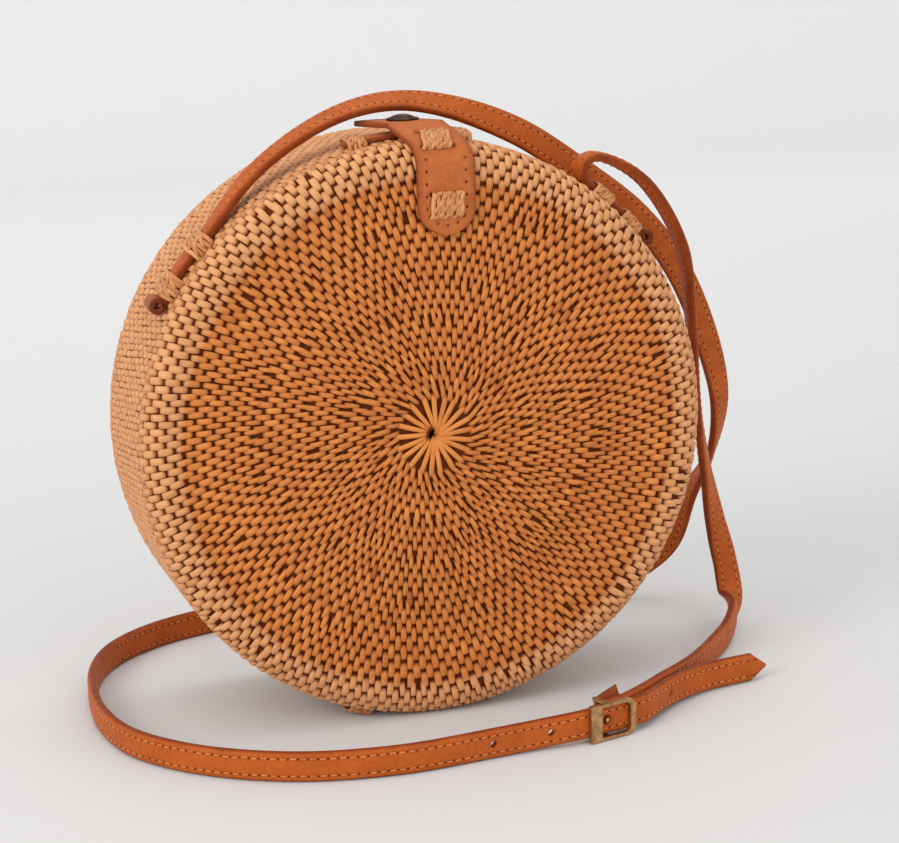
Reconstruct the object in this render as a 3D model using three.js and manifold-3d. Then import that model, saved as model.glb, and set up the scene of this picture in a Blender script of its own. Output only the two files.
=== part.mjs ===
// Round woven cane shoulder bag with a leather strap, standing on its rim.
//
// Millimetres, +Z up. The bag's axis runs along Y, its front faces -Y, and the origin is the
// bottom centre of its rim, on the surface it stands on. The drum is two woven shells: a deep
// back shell and a shallow front lid that turns about cane ties at the bottom of the seam.
import * as THREE from 'three';
import { mergeVertices } from 'three/addons/utils/BufferGeometryUtils.js';
import Module from 'manifold-3d';

const wasm = await Module();
wasm.setup();

// Bag
const bagRadius = 100;
const bagDepth = 72;
const edgeRadius = 8.5;
const shellWall = 2.8;
const lidDepth = 9.5;
const seamGap = 0.6;
const centreHoleRadius = 1.6;
const roundSides = 72;
const edgeSteps = 4;

// Clearance between pieces that touch, and how far their rounded corners reach
const fitGap = 0.3;
const laceRounding = 0.7;
const edgeSofteningMin = 0.5;

// Strap
const strapWidth = 10;
const strapThickness = 3;
const strapBevel = 0.7;
const strapStep = 8.5;
const loopHoleRadius = 1.3;
const loopLeather = 1.4;
const tipLength = 6;
const tipWidth = 1.5;
const punchRadius = 1.6;
const holeDistances = [-42, -21, 36];
const tieSetback = 0.4;
const tieBand = 1.8;
const tieLength = 8.5;

// Angles around the bag's axis, in degrees from the top, positive to the right
const leftLowerTie = -56.7;
const leftUpperTie = -47.4;
const rightUpperTie = 41.6;
const rightLowerTie = 49.7;
const endReach = 4.4;
const tieLead = 3;

// Flap, the tab under it and their snap
const flapWidth = 21.6;
const flapThickness = 2;
const flapDrop = 32.5;
const flapRoundLength = 9;
const flapOffset = 6;
const flapSkew = 13;
const flapBackReach = 9.5;
const flapBendAngle = 60;
const snapSpace = 1.6;
const snapRadius = 5.6;
const snapHeight = 1.7;
const studRadius = 4;
const tabAngle = -1;
const tabSpread = 10.5;
const tabWidth = 9;
const tabThickness = 1.8;
const tabTieLength = 6.5;
const flapTieLength = 11.5;
const flapTieSpan = 9;
const faceTieHeight = 21.5;
const topTieSetback = 6.5;
const slotWidth = 1.2;

// Cane ties that hinge the lid, under the bag
const hingeTieLength = 8.5;
const hingeTieReach = 12;
const hingeTies = [
  { name: 'hinge_tie_left', angle: -164.4, band: 3.2 },
  { name: 'hinge_tie_right', angle: 168.5, band: 1.3 },
];

// Buckle
const buckleLength = 19;
const buckleRail = 1.2;
const buckleLeftBar = 4.6;
const buckleRightBar = 2.2;
const bucklePlate = 1.8;
const buckleCorner = 3.6;
const barRadius = 0.9;
const barOffset = -1.5;
const foldLeather = 1.2;
const prongRadius = 0.9;
const buckleAcross = 0.45;
const buckleBack = -1.0625;
const buckleHeading = 16;
const foldEndLength = 10;
const foldEndHeight = 8.5;
const foldEndTurn = 18;

// The long strap's free stretch over the top and down the right side.
// angle: degrees from the top. lift: above the rim, as a share of the bag's radius.
// depth: along Y, as a share of the bag's depth. lean: 0 lies flat on the rim, 90 stands up.
const longArch = [
  { angle: -39.9, lift: 0.03, depth: -0.25, lean: 3 },
  { angle: -31.2, lift: 0.06, depth: -0.222, lean: 7 },
  { angle: -19.8, lift: 0.09, depth: -0.187, lean: 11 },
  { angle: -9.7, lift: 0.111, depth: -0.139, lean: 18 },
  { angle: -0.3, lift: 0.114, depth: -0.083, lean: 28 },
  { angle: 9.6, lift: 0.099, depth: -0.042, lean: 45 },
  { angle: 25, lift: 0.08, depth: 0.035, lean: 76 },
  { angle: 40.4, lift: 0.083, depth: 0.118, lean: 90 },
  { angle: 56.9, lift: 0.152, depth: 0.208, lean: 90 },
  { angle: 70.8, lift: 0.227, depth: 0.306, lean: 88 },
  { angle: 86.4, lift: 0.322, depth: 0.417, lean: 78 },
  { angle: 96.2, lift: 0.396, depth: 0.5, lean: 55 },
  { angle: 104.9, lift: 0.432, depth: 0.611, lean: 25 },
  { angle: 112.2, lift: 0.433, depth: 0.722, lean: -5 },
  { angle: 121.9, lift: 0.478, depth: 0.86, lean: -45 },
];

// Stretches that lie on the surface, standing on their edge.
// across: along X, as a share of the bag's radius. back: along Y, as a share of its depth.
// rise: 0 on the surface, 1 as high as the buckle lifts the strap.
const longFloor = [
  { across: 1.02, back: 1.04, rise: 0.6 },
  { across: 0.7, back: 1.22, rise: 0 },
  { across: 0.35, back: 1.33, rise: 0 },
  { across: -0.05, back: 1.36, rise: 0 },
  { across: -0.53, back: 1.28, rise: 0 },
  { across: -0.81, back: 1.11, rise: 0 },
  { across: -1, back: 0.85, rise: 0 },
  { across: -1.1, back: 0.54, rise: 0 },
  { across: -1.14, back: 0.22, rise: 0 },
  { across: -1.145, back: -0.14, rise: 0 },
  { across: -1.085, back: -0.5, rise: 0 },
  { across: -0.9, back: -0.84, rise: 0 },
  { across: -0.62, back: -1.08, rise: 0 },
  { across: -0.3, back: -1.165, rise: 0 },
  { across: 0.04, back: -1.125, rise: 0.1 },
  { across: 0.19, back: -1.11, rise: 0.4 },
];
const longTail = [
  { across: 0.68, back: -0.905, rise: 0.9 },
  { across: 0.79, back: -0.774, rise: 0.6 },
  { across: 0.94, back: -0.658, rise: 0.3 },
  { across: 1.07, back: -0.612, rise: 0.15 },
  { across: 1.14, back: -0.589, rise: 0 },
];
const shortLoop = [
  { angle: 36.4, lift: 0.032, depth: -0.253, lean: 0 },
  { angle: 35.2, lift: 0.066, depth: -0.253, lean: 0 },
  { angle: 36.2, lift: 0.108, depth: -0.25, lean: 0 },
  { angle: 39.8, lift: 0.141, depth: -0.245, lean: 0 },
  { angle: 47.8, lift: 0.172, depth: -0.21, lean: 0 },
  { angle: 61.8, lift: 0.167, depth: -0.13, lean: 5 },
  { angle: 75.5, lift: 0.135, depth: -0.02, lean: 12 },
  { angle: 93.7, lift: 0.175, depth: 0.139, lean: 20 },
  { angle: 106.7, lift: 0.298, depth: 0.236, lean: 38 },
  { angle: 114.4, lift: 0.438, depth: 0.319, lean: 64 },
  { angle: 119.3, lift: 0.558, depth: 0.347, lean: 88 },
  { angle: 122.5, lift: 0.612, depth: 0.29, lean: 112 },
];
const shortFloor = [
  { across: 1.32, back: 0.14, rise: 2.4 },
  { across: 1.235, back: -0.04, rise: 0.5 },
  { across: 1.1, back: -0.26, rise: 0 },
  { across: 0.965, back: -0.47, rise: 0.2 },
  { across: 0.85, back: -0.62, rise: 0.5 },
  { across: 0.755, back: -0.725, rise: 0.7 },
  { across: 0.655, back: -0.845, rise: 0.9 },
];

// Places that follow from the sizes
const frontFace = -bagDepth / 2;
const seam = frontFace + lidDepth;
const rimTop = 2 * bagRadius;
const strapSeat = fitGap + strapThickness / 2;
const buckleHeight = strapWidth + 2 * (fitGap + buckleRail);
const foldRadius = barRadius + fitGap + foldLeather;
const strapTieHalf = strapWidth / 2 + fitGap + tieBand;
const tieLine = seam + seamGap / 2 + tieSetback + strapTieHalf;
const flapBase = rimTop + fitGap + tabThickness + snapSpace;

const lacedCane = new THREE.MeshStandardMaterial({ color: 0xc98a4b, roughness: 0.62, metalness: 0 });
const shellCane = new THREE.MeshStandardMaterial({ color: 0xb97b3e, roughness: 0.58, metalness: 0 });
const strapLeather = new THREE.MeshStandardMaterial({ color: 0xb0602a, roughness: 0.5, metalness: 0 });
const flapLeather = new THREE.MeshStandardMaterial({ color: 0xb56a3c, roughness: 0.55, metalness: 0 });
const agedBrass = new THREE.MeshStandardMaterial({ color: 0x8e7447, roughness: 0.38, metalness: 1 });

const radians = THREE.MathUtils.degToRad;
const vector = (x, y, z) => new THREE.Vector3(x, y, z);

/** Unit vector that points away from the bag's axis at an angle from the top. */
function outward(angle) {
  return vector(Math.sin(radians(angle)), 0, Math.cos(radians(angle)));
}

/** Point at an angle around the bag's axis, a height above the rim and a place along Y. */
function rimPoint(angle, height, y) {
  return outward(angle).multiplyScalar(bagRadius + height).add(vector(0, y, bagRadius));
}

/** Manifold solid from a closed geometry, with its faces turned outwards. */
function toSolid(geometry) {
  const bare = new THREE.BufferGeometry();
  bare.setAttribute('position', geometry.getAttribute('position'));
  bare.setIndex(geometry.getIndex());
  const merged = mergeVertices(bare, 1e-4);
  const places = merged.getAttribute('position').array;
  const corners = [];
  let volume = 0;
  const [a, b, c] = [vector(), vector(), vector()];
  for (let i = 0; i < merged.index.count; i += 3) {
    const [p, q, r] = [merged.index.getX(i), merged.index.getX(i + 1), merged.index.getX(i + 2)];
    if (p === q || q === r || r === p) continue;
    corners.push(p, q, r);
    a.fromArray(places, 3 * p);
    b.fromArray(places, 3 * q);
    c.fromArray(places, 3 * r);
    volume += a.dot(b.cross(c));
  }
  if (volume < 0) corners.reverse();
  return new wasm.Manifold(new wasm.Mesh({
    numProp: 3,
    vertProperties: Float32Array.from(places),
    triVerts: Uint32Array.from(corners),
  }));
}

/** Geometry of a Manifold solid. */
function toGeometry(solid) {
  const mesh = solid.getMesh();
  const geometry = new THREE.BufferGeometry();
  const places = Float32Array.from(mesh.vertProperties);
  geometry.setAttribute('position', new THREE.BufferAttribute(places, 3));
  geometry.setIndex([...mesh.triVerts]);
  return geometry;
}

/** Copy of a geometry whose X and Y directions lie along two given unit vectors. */
function placed(geometry, origin, along, up) {
  const side = along.clone().cross(up);
  const frame = new THREE.Matrix4().makeBasis(along, up, side).setPosition(origin);
  return geometry.clone().applyMatrix4(frame);
}

/** Closed body through a row of rings with equally many points each. */
function loft(rings) {
  const size = rings[0].length;
  const geometry = new THREE.BufferGeometry().setFromPoints(rings.flat());
  const faces = [];
  for (let k = 0; k + 1 < rings.length; k += 1) {
    for (let i = 0; i < size; i += 1) {
      const [p, q] = [k * size + i, k * size + (i + 1) % size];
      faces.push(p, q, q + size, p, q + size, p + size);
    }
  }
  const last = (rings.length - 1) * size;
  for (let i = 1; i + 1 < size; i += 1) {
    faces.push(0, i + 1, i, last, last + i, last + i + 1);
  }
  geometry.setIndex(faces);
  return geometry;
}

/** Ring of a flat band with bevelled edges around a centre. */
function bandRing(centre, wide, face, halfWidth, thickness) {
  const bevel = Math.min(strapBevel, halfWidth / 2, thickness / 3);
  const half = thickness / 2;
  const flat = halfWidth - bevel;
  const wall = half - bevel;
  const outline = [
    [halfWidth, wall], [flat, half], [-flat, half], [-halfWidth, wall],
    [-halfWidth, -wall], [-flat, -half], [flat, -half], [halfWidth, -wall],
  ];
  return outline.map(([w, t]) => centre.clone().addScaledVector(wide, w).addScaledVector(face, t));
}

/** Shell of revolution about Y: a flat face, a rounded edge and a rim up to an open side. */
function shellGeometry(faceY, openY) {
  const inwards = Math.sign(openY - faceY);
  const vertexRadius = (radius) => radius / Math.cos(Math.PI / roundSides);
  const innerEdge = Math.max(edgeRadius - shellWall, edgeSofteningMin);
  const corner = (wall, radius, angle) => new THREE.Vector2(
    vertexRadius(bagRadius - wall - radius + radius * Math.sin(angle)),
    faceY + inwards * (wall + radius - radius * Math.cos(angle)),
  );
  const steps = Array.from({ length: edgeSteps + 1 }, (_, i) => (Math.PI / 2) * (i / edgeSteps));
  const profile = [
    new THREE.Vector2(centreHoleRadius, faceY),
    ...steps.map((angle) => corner(0, edgeRadius, angle)),
    new THREE.Vector2(vertexRadius(bagRadius), openY),
    new THREE.Vector2(vertexRadius(bagRadius - shellWall), openY),
    ...steps.reverse().map((angle) => corner(shellWall, innerEdge, angle)),
    new THREE.Vector2(centreHoleRadius, faceY + inwards * shellWall),
    new THREE.Vector2(centreHoleRadius, faceY),
  ];
  const turned = new THREE.LatheGeometry(profile, roundSides, Math.PI / roundSides);
  return toGeometry(toSolid(turned.translate(0, 0, bagRadius)));
}

/** Stations along a strap's rows, with the directions across it and through it. */
function strapStations(rows) {
  const course = new THREE.CatmullRomCurve3(rows.map((row) => row.point));
  const widths = new THREE.CatmullRomCurve3(rows.map((row) => row.wide));
  const stations = [];
  for (let i = 0; i + 1 < rows.length; i += 1) {
    const steps = Math.max(1, Math.round(rows[i].point.distanceTo(rows[i + 1].point) / strapStep));
    const isLast = i + 2 === rows.length;
    for (let k = 0; k < steps + (isLast ? 1 : 0); k += 1) {
      const share = (i + k / steps) / (rows.length - 1);
      const along = course.getTangent(share);
      const wide = widths.getPoint(share);
      wide.addScaledVector(along, -wide.dot(along)).normalize();
      const face = wide.clone().cross(along);
      const centre = course.getPoint(share);
      const reach = Math.abs(wide.z) * strapWidth / 2 + Math.abs(face.z) * strapThickness / 2;
      centre.z = Math.max(centre.z, reach);
      stations.push({ centre, along, wide, face });
    }
  }
  return stations;
}

/** Row of a strap's course given by its angle around the bag. */
function archRow({ angle, lift, depth, lean }) {
  const wide = vector(0, Math.cos(radians(lean)), 0);
  wide.addScaledVector(outward(angle), Math.sin(radians(lean)));
  return { point: rimPoint(angle, lift * bagRadius, depth * bagDepth), wide };
}

/** Row of a strap's course that stands on its edge on the surface. */
function floorRow({ across, back, rise }, up) {
  const lifted = strapWidth / 2 + rise * (buckleHeight - strapWidth) / 2;
  return { point: vector(across * bagRadius, back * bagDepth, lifted), wide: vector(0, 0, up) };
}

/** Row of a strap's course that lies flat on the rim. */
function seatedRow(angle) {
  return { point: rimPoint(angle, strapSeat, tieLine), wide: vector(0, 1, 0) };
}

/** Round loop of folded leather, its axis along the strap's width. */
function foldLoop(centre, along, wide, holeRadius, leather) {
  const outline = new THREE.Shape().absarc(0, 0, holeRadius + leather, 0, 2 * Math.PI);
  outline.holes.push(new THREE.Path().absarc(0, 0, holeRadius, 0, 2 * Math.PI, true));
  const extrusion = { depth: strapWidth, bevelEnabled: false, curveSegments: 7 };
  const ring = new THREE.ExtrudeGeometry(outline, extrusion);
  ring.translate(0, 0, -strapWidth / 2);
  return placed(ring, centre, along, wide.clone().cross(along));
}

/** Cane lashing: an arch over what it holds, with a leg on each side. */
function arch(innerWidth, innerHeight, band, length) {
  const half = innerWidth / 2;
  const top = innerHeight + band;
  const round = band * laceRounding;
  const outline = new THREE.Shape();
  outline.moveTo(-half - band, 0);
  outline.lineTo(-half - band, top - round);
  outline.quadraticCurveTo(-half - band, top, -half - band + round, top);
  outline.lineTo(half + band - round, top);
  outline.quadraticCurveTo(half + band, top, half + band, top - round);
  outline.lineTo(half + band, 0);
  outline.lineTo(half, 0);
  outline.lineTo(half, innerHeight);
  outline.lineTo(-half, innerHeight);
  outline.lineTo(-half, 0);
  const extrusion = { depth: length, bevelEnabled: false, curveSegments: 3 };
  return new THREE.ExtrudeGeometry(outline, extrusion).translate(0, 0, -length / 2);
}

/** Cane knot: a block with its outer edges rounded. */
function knotBlock(width, height, length) {
  const half = width / 2;
  const round = height * laceRounding;
  const outline = new THREE.Shape();
  outline.moveTo(-half, 0);
  outline.lineTo(-half, height - round);
  outline.quadraticCurveTo(-half, height, -half + round, height);
  outline.lineTo(half - round, height);
  outline.quadraticCurveTo(half, height, half, height - round);
  outline.lineTo(half, 0);
  const extrusion = { depth: length, bevelEnabled: false, curveSegments: 3 };
  return new THREE.ExtrudeGeometry(outline, extrusion).translate(0, 0, -length / 2);
}

/** Cane tie over something that lies on the rim. */
function rimTie(angle, coveredWidth, coveredHeight, band, length, y) {
  const geometry = arch(coveredWidth + 2 * fitGap, coveredHeight + fitGap, band, length);
  return placed(geometry, rimPoint(angle, fitGap, y), vector(0, 1, 0), outward(angle));
}

const bag = new THREE.Group();

/** Adds a named piece to the bag. */
function add(name, geometry, material) {
  const mesh = new THREE.Mesh(geometry, material);
  mesh.name = name;
  bag.add(mesh);
}

// Shells
add('front_lid', shellGeometry(frontFace, seam - seamGap / 2), shellCane);
add('back_shell', shellGeometry(-frontFace, seam + seamGap / 2), shellCane);

// Buckle's own frame: along the strap, up, and out towards the front
const buckleAlong = vector(Math.cos(radians(buckleHeading)), Math.sin(radians(buckleHeading)), 0);
const buckleUp = vector(0, 0, 1);
const buckleOut = buckleAlong.clone().cross(buckleUp);
const buckleCentre = vector(buckleAcross * bagRadius, buckleBack * bagDepth, buckleHeight / 2);
const buckleFront = strapThickness / 2 + fitGap;
const barDepth = -(strapThickness / 2 + fitGap + foldRadius);

/** Point near the buckle, by its place along the strap, up and out. */
function atBuckle(along, up, out) {
  return buckleCentre.clone().addScaledVector(buckleAlong, along)
    .addScaledVector(buckleUp, up).addScaledVector(buckleOut, out);
}

/** Box near the buckle, centred on a place along, up and out. */
function buckleBox(size, along, up, out) {
  return placed(new THREE.BoxGeometry(...size), atBuckle(along, up, out), buckleAlong, buckleUp);
}

/** Frame with a wide left bar, a rounded right end and a bar behind the strap. */
function buckleFrame() {
  const [halfLength, halfHeight] = [buckleLength / 2, buckleHeight / 2];
  const outline = new THREE.Shape();
  outline.moveTo(-halfLength, -halfHeight);
  outline.lineTo(halfLength - buckleCorner, -halfHeight);
  outline.absarc(halfLength - buckleCorner, buckleCorner - halfHeight, buckleCorner, -Math.PI / 2, 0);
  outline.absarc(halfLength - buckleCorner, halfHeight - buckleCorner, buckleCorner, 0, Math.PI / 2);
  outline.lineTo(-halfLength, halfHeight);
  const [left, right] = [buckleLeftBar - halfLength, halfLength - buckleRightBar];
  const inside = buckleHeight / 2 - buckleRail;
  const window = new THREE.Path();
  window.moveTo(left, -inside);
  window.lineTo(left, inside);
  window.lineTo(right, inside);
  window.lineTo(right, -inside);
  outline.holes.push(window);
  const extrusion = { depth: bucklePlate, bevelEnabled: false, curveSegments: 4 };
  const plate = new THREE.ExtrudeGeometry(outline, extrusion);
  let frame = toSolid(placed(plate, atBuckle(0, 0, buckleFront), buckleAlong, buckleUp));
  const lugDepth = buckleFront - barDepth + barRadius;
  const lugHeight = buckleHeight / 2 - buckleRail / 2;
  for (const side of [-1, 1]) {
    const lugSize = [2 * barRadius, buckleRail, lugDepth];
    const lug = buckleBox(lugSize, barOffset, side * lugHeight, buckleFront - lugDepth / 2);
    frame = frame.add(toSolid(lug));
  }
  const bar = new THREE.CylinderGeometry(barRadius, barRadius, 2 * lugHeight, 10);
  frame = frame.add(toSolid(placed(bar, atBuckle(barOffset, 0, barDepth), buckleAlong, buckleUp)));
  return toGeometry(frame);
}

/** Pin from the bar through the strap's hole, with a domed tip. */
function buckleProng() {
  const start = barDepth + barRadius + fitGap;
  const end = strapThickness / 2 + prongRadius;
  const profile = [
    new THREE.Vector2(0, start),
    new THREE.Vector2(prongRadius, start),
    new THREE.Vector2(prongRadius, end - prongRadius * 0.6),
    new THREE.Vector2(prongRadius * 0.7, end - prongRadius * 0.15),
    new THREE.Vector2(0, end),
  ];
  const pin = new THREE.LatheGeometry(profile, 10);
  return toGeometry(toSolid(placed(pin, atBuckle(barOffset, 0, 0), buckleAlong, buckleOut)));
}

/** Cylinder that punches the strap at a place, through its face. */
function punch(centre, face) {
  const tool = new THREE.CylinderGeometry(punchRadius, punchRadius, 3 * strapThickness, 12);
  const side = Math.abs(face.z) < 0.9 ? buckleUp : buckleAlong;
  const along = side.clone().cross(face).normalize();
  return toSolid(placed(tool, centre, along, face));
}

/** Body of a strap through its stations, tapered to a point where a tip is asked for. */
function strapBody(stations, pointed) {
  const halfWidth = strapWidth / 2;
  const rings = stations.map(
    ({ centre, wide, face }) => bandRing(centre, wide, face, halfWidth, strapThickness),
  );
  if (pointed) {
    const { centre, along, wide, face } = stations.at(-1);
    const tip = centre.clone().addScaledVector(along, tipLength);
    rings.push(bandRing(tip, wide, face, tipWidth / 2, strapThickness));
  }
  return toSolid(loft(rings));
}

/** Centre and face direction of a strap at a distance from its first station. */
function alongStrap(stations, distance) {
  let left = distance;
  let i = 0;
  const run = () => stations[i].centre.distanceTo(stations[i + 1].centre);
  while (i + 2 < stations.length && left > run()) {
    left -= run();
    i += 1;
  }
  const centre = stations[i].centre.clone().lerp(stations[i + 1].centre, left / run());
  return { centre, face: stations[i].face };
}

/** Distance along a strap of the station nearest to a point. */
function distanceTo(stations, point) {
  let [best, run, found] = [Infinity, 0, 0];
  stations.forEach((station, i) => {
    if (i > 0) run += station.centre.distanceTo(stations[i - 1].centre);
    const gap = station.centre.distanceTo(point);
    if (gap < best) [best, found] = [gap, run];
  });
  return found;
}

/** Row of a strap that runs straight past the buckle. */
function buckleRow(along, out, up) {
  return { point: atBuckle(along, 0, out), wide: vector(0, 0, up) };
}

// Long strap: from the left ties over the top, around behind and in front to the buckle and its tip
const longEnd = leftLowerTie - endReach;
const leftMiddle = (leftLowerTie + leftUpperTie) / 2;
const longRows = [
  ...[longEnd, leftLowerTie, leftMiddle, leftUpperTie, leftUpperTie + tieLead].map(seatedRow),
  ...longArch.map(archRow),
  ...longFloor.map((row) => floorRow(row, 1)),
  ...[-0.65, 0, 0.42, 0.8].map((share) => buckleRow(share * buckleLength, 0, 1)),
  ...longTail.map((row) => floorRow(row, 1)),
];
const longStations = strapStations(longRows);
let longStrap = strapBody(longStations, true);
const pinDistance = distanceTo(longStations, buckleCentre) + barOffset;
for (const distance of holeDistances) {
  const { centre, face } = alongStrap(longStations, pinDistance + distance);
  longStrap = longStrap.subtract(punch(centre, face));
}
longStrap = longStrap.subtract(punch(atBuckle(barOffset, 0, 0), buckleOut));
const longFold = foldLoop(
  rimPoint(longEnd, fitGap + loopHoleRadius + loopLeather, tieLine),
  longStations[0].along, longStations[0].wide, loopHoleRadius, loopLeather,
);
add('strap_long', toGeometry(longStrap.add(toSolid(longFold))), strapLeather);

// Short strap: from the right ties up, around and down to the buckle's bar
const shortEnd = rightLowerTie + endReach;
const foldBack = [0.55, 0.32].map((share) => share * buckleLength);
const rightMiddle = (rightLowerTie + rightUpperTie) / 2;
const shortRows = [
  ...[shortEnd, rightLowerTie, rightMiddle, rightUpperTie, rightUpperTie - tieLead].map(seatedRow),
  ...shortLoop.map(archRow),
  ...shortFloor.map((row) => floorRow(row, -1)),
  ...foldBack.map((along) => buckleRow(barOffset + along, barDepth, -1)),
  buckleRow(barOffset + foldRadius - foldLeather / 2, barDepth, -1),
];
const shortStations = strapStations(shortRows);
const shortFold = foldLoop(
  rimPoint(shortEnd, fitGap + loopHoleRadius + loopLeather, tieLine),
  shortStations[0].along, shortStations[0].wide, loopHoleRadius, loopLeather,
);
const barPlace = atBuckle(barOffset, 0, barDepth);
const barFold = foldLoop(barPlace, buckleAlong, buckleUp, barRadius + fitGap, foldLeather);
const prongSlot = buckleBox(
  [2 * (prongRadius + fitGap), 2 * (prongRadius + fitGap), 2 * foldRadius],
  barOffset, 0, barDepth + foldRadius,
);
const barSpace = barRadius + fitGap;
const barHollow = new THREE.CylinderGeometry(barSpace, barSpace, 2 * strapWidth, 14);
const shortStrap = strapBody(shortStations, false)
  .add(toSolid(barFold))
  .subtract(toSolid(placed(barHollow, barPlace, buckleAlong, buckleUp)))
  .subtract(toSolid(prongSlot))
  .add(toSolid(shortFold));
add('strap_short', toGeometry(shortStrap), strapLeather);

const foldEnd = new THREE.BoxGeometry(foldEndLength, foldEndHeight, foldLeather);
foldEnd.rotateZ(radians(foldEndTurn));
const foldEndOut = barDepth - Math.max(strapThickness / 2, foldRadius) - fitGap - foldLeather / 2;
const foldEndAlong = barOffset + foldRadius + foldEndLength / 2;
const foldEndPlace = atBuckle(foldEndAlong, foldEndHeight / 4, foldEndOut);
add('strap_fold_end', placed(foldEnd, foldEndPlace, buckleAlong, buckleUp), strapLeather);

add('buckle_frame', buckleFrame(), agedBrass);
add('buckle_prong', buckleProng(), agedBrass);

// Cane ties over the straps
const strapTies = [
  { name: 'strap_tie_left_lower', angle: leftLowerTie },
  { name: 'strap_tie_left_upper', angle: leftUpperTie },
  { name: 'strap_tie_right_upper', angle: rightUpperTie },
  { name: 'strap_tie_right_lower', angle: rightLowerTie },
];
for (const { name, angle } of strapTies) {
  add(name, rimTie(angle, strapWidth, strapThickness + fitGap, tieBand, tieLength, tieLine), lacedCane);
}

// Tab on the back shell, under the flap, with a cane tie at each end
const tabHalf = tabSpread + THREE.MathUtils.radToDeg(tabTieLength / 2 / bagRadius);
const tabRings = Array.from({ length: 9 }, (_, i) => {
  const angle = tabAngle + tabHalf * (i / 4 - 1);
  const centre = rimPoint(angle, fitGap + tabThickness / 2, tieLine);
  return bandRing(centre, vector(0, 1, 0), outward(angle), tabWidth / 2, tabThickness);
});
add('snap_tab', loft(tabRings), flapLeather);
for (const [name, side] of [['tab_tie_left', -1], ['tab_tie_right', 1]]) {
  const angle = tabAngle + side * tabSpread;
  add(name, rimTie(angle, tabWidth, tabThickness + fitGap, tieBand, tabTieLength, tieLine), lacedCane);
}

// Flap: up the lid's face, over its edge and back over the tab
const bendRadius = edgeRadius + fitGap + flapThickness / 2;
const bendCentre = { y: frontFace + edgeRadius, z: rimTop - edgeRadius };
const flapTop = flapBase + flapThickness / 2;
const flapFace = frontFace - fitGap - flapThickness / 2;
const flapEnd = -flapBackReach;
const bendSteps = [0, 0.25, 0.5, 0.75, 1].map((share) => radians(flapBendAngle) * share);
const bend = bendSteps.map((angle) => ({
  y: bendCentre.y - bendRadius * Math.cos(angle),
  z: bendCentre.z + bendRadius * Math.sin(angle),
}));
const climb = (flapTop - bend.at(-1).z) * Math.tan(radians(flapBendAngle));
const levelStart = bend.at(-1).y + climb;
const flapLow = rimTop - flapDrop;
const roundShares = [0.03, 0.15, 0.35, 0.65, 1];
const flapPath = [
  ...roundShares.map((share) => ({ y: flapFace, z: flapLow + share * flapRoundLength, share })),
  ...bend,
  { y: levelStart, z: flapTop },
  { y: (levelStart + flapEnd) / 2, z: flapTop },
  { y: flapEnd, z: flapTop },
];

/** Centre of the flap's width at a place along Y: it swings to the left towards the back. */
function flapCentreX(y) {
  const share = Math.max(0, (y - bendCentre.y + bendRadius) / (flapEnd - bendCentre.y + bendRadius));
  return flapOffset - flapSkew * share;
}

const flapRings = flapPath.map(({ y, z, share = 1 }, i) => {
  const before = flapPath[Math.max(i - 1, 0)];
  const after = flapPath[Math.min(i + 1, flapPath.length - 1)];
  const along = vector(0, after.y - before.y, after.z - before.z).normalize();
  const face = along.cross(vector(1, 0, 0));
  const halfWidth = (flapWidth / 2) * Math.sqrt(1 - (1 - share) ** 2);
  return bandRing(vector(flapCentreX(y), y, z), vector(1, 0, 0), face, halfWidth, flapThickness);
});

// Cane ties that lace the flap to the lid, through slots in the leather
const slope = radians(90 - flapBendAngle);
const topTieY = seam - topTieSetback;
const topTieZ = bend.at(-1).z + (topTieY - bend.at(-1).y) * Math.tan(slope);
const flapTies = [
  { name: 'flap_tie_face', y: flapFace, z: rimTop - faceTieHeight, tilt: Math.PI / 2 },
  { name: 'flap_tie_top', y: topTieY, z: topTieZ, tilt: slope },
];
let flapSolid = toSolid(loft(flapRings));
for (const { name, y, z, tilt } of flapTies) {
  const along = vector(0, Math.cos(tilt), Math.sin(tilt));
  const out = vector(0, -Math.sin(tilt), Math.cos(tilt));
  const centre = vector(flapCentreX(y), y, z);
  const foot = centre.clone().addScaledVector(out, -flapThickness / 2 - fitGap / 2);
  const legHeight = flapThickness + fitGap * 1.5;
  const inner = flapTieSpan - 2 * slotWidth;
  add(name, placed(arch(inner, legHeight, slotWidth, flapTieLength), foot, along, out), lacedCane);
  for (const side of [-1, 1]) {
    const slotSize = [slotWidth + 2 * fitGap, 4 * flapThickness, flapTieLength + 2 * fitGap];
    const slot = new THREE.BoxGeometry(...slotSize);
    const middle = centre.clone().addScaledVector(along, side * (inner + slotWidth) / 2);
    flapSolid = flapSolid.subtract(toSolid(placed(slot, middle, along, out)));
  }
}
add('flap', toGeometry(flapSolid), flapLeather);

// Snap: a domed cap on the flap, and its socket between the flap and the tab
const snapX = flapCentreX(tieLine);
const domeProfile = [
  [0, 0], [1, 0], [1, 0.25], [0.86, 0.6], [0.5, 0.92], [0, 1],
].map(([radius, height]) => new THREE.Vector2(radius * snapRadius, height * snapHeight));
const cap = new THREE.LatheGeometry(domeProfile, 20).rotateX(Math.PI / 2);
cap.translate(snapX, tieLine, flapBase + flapThickness + fitGap);
add('snap_cap', toGeometry(toSolid(cap)), agedBrass);
const socketHeight = snapSpace - 2 * fitGap;
const socket = new THREE.CylinderGeometry(studRadius, studRadius, socketHeight, 16).rotateX(Math.PI / 2);
add('snap_socket', socket.translate(snapX, tieLine, flapBase - snapSpace / 2), agedBrass);

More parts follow.
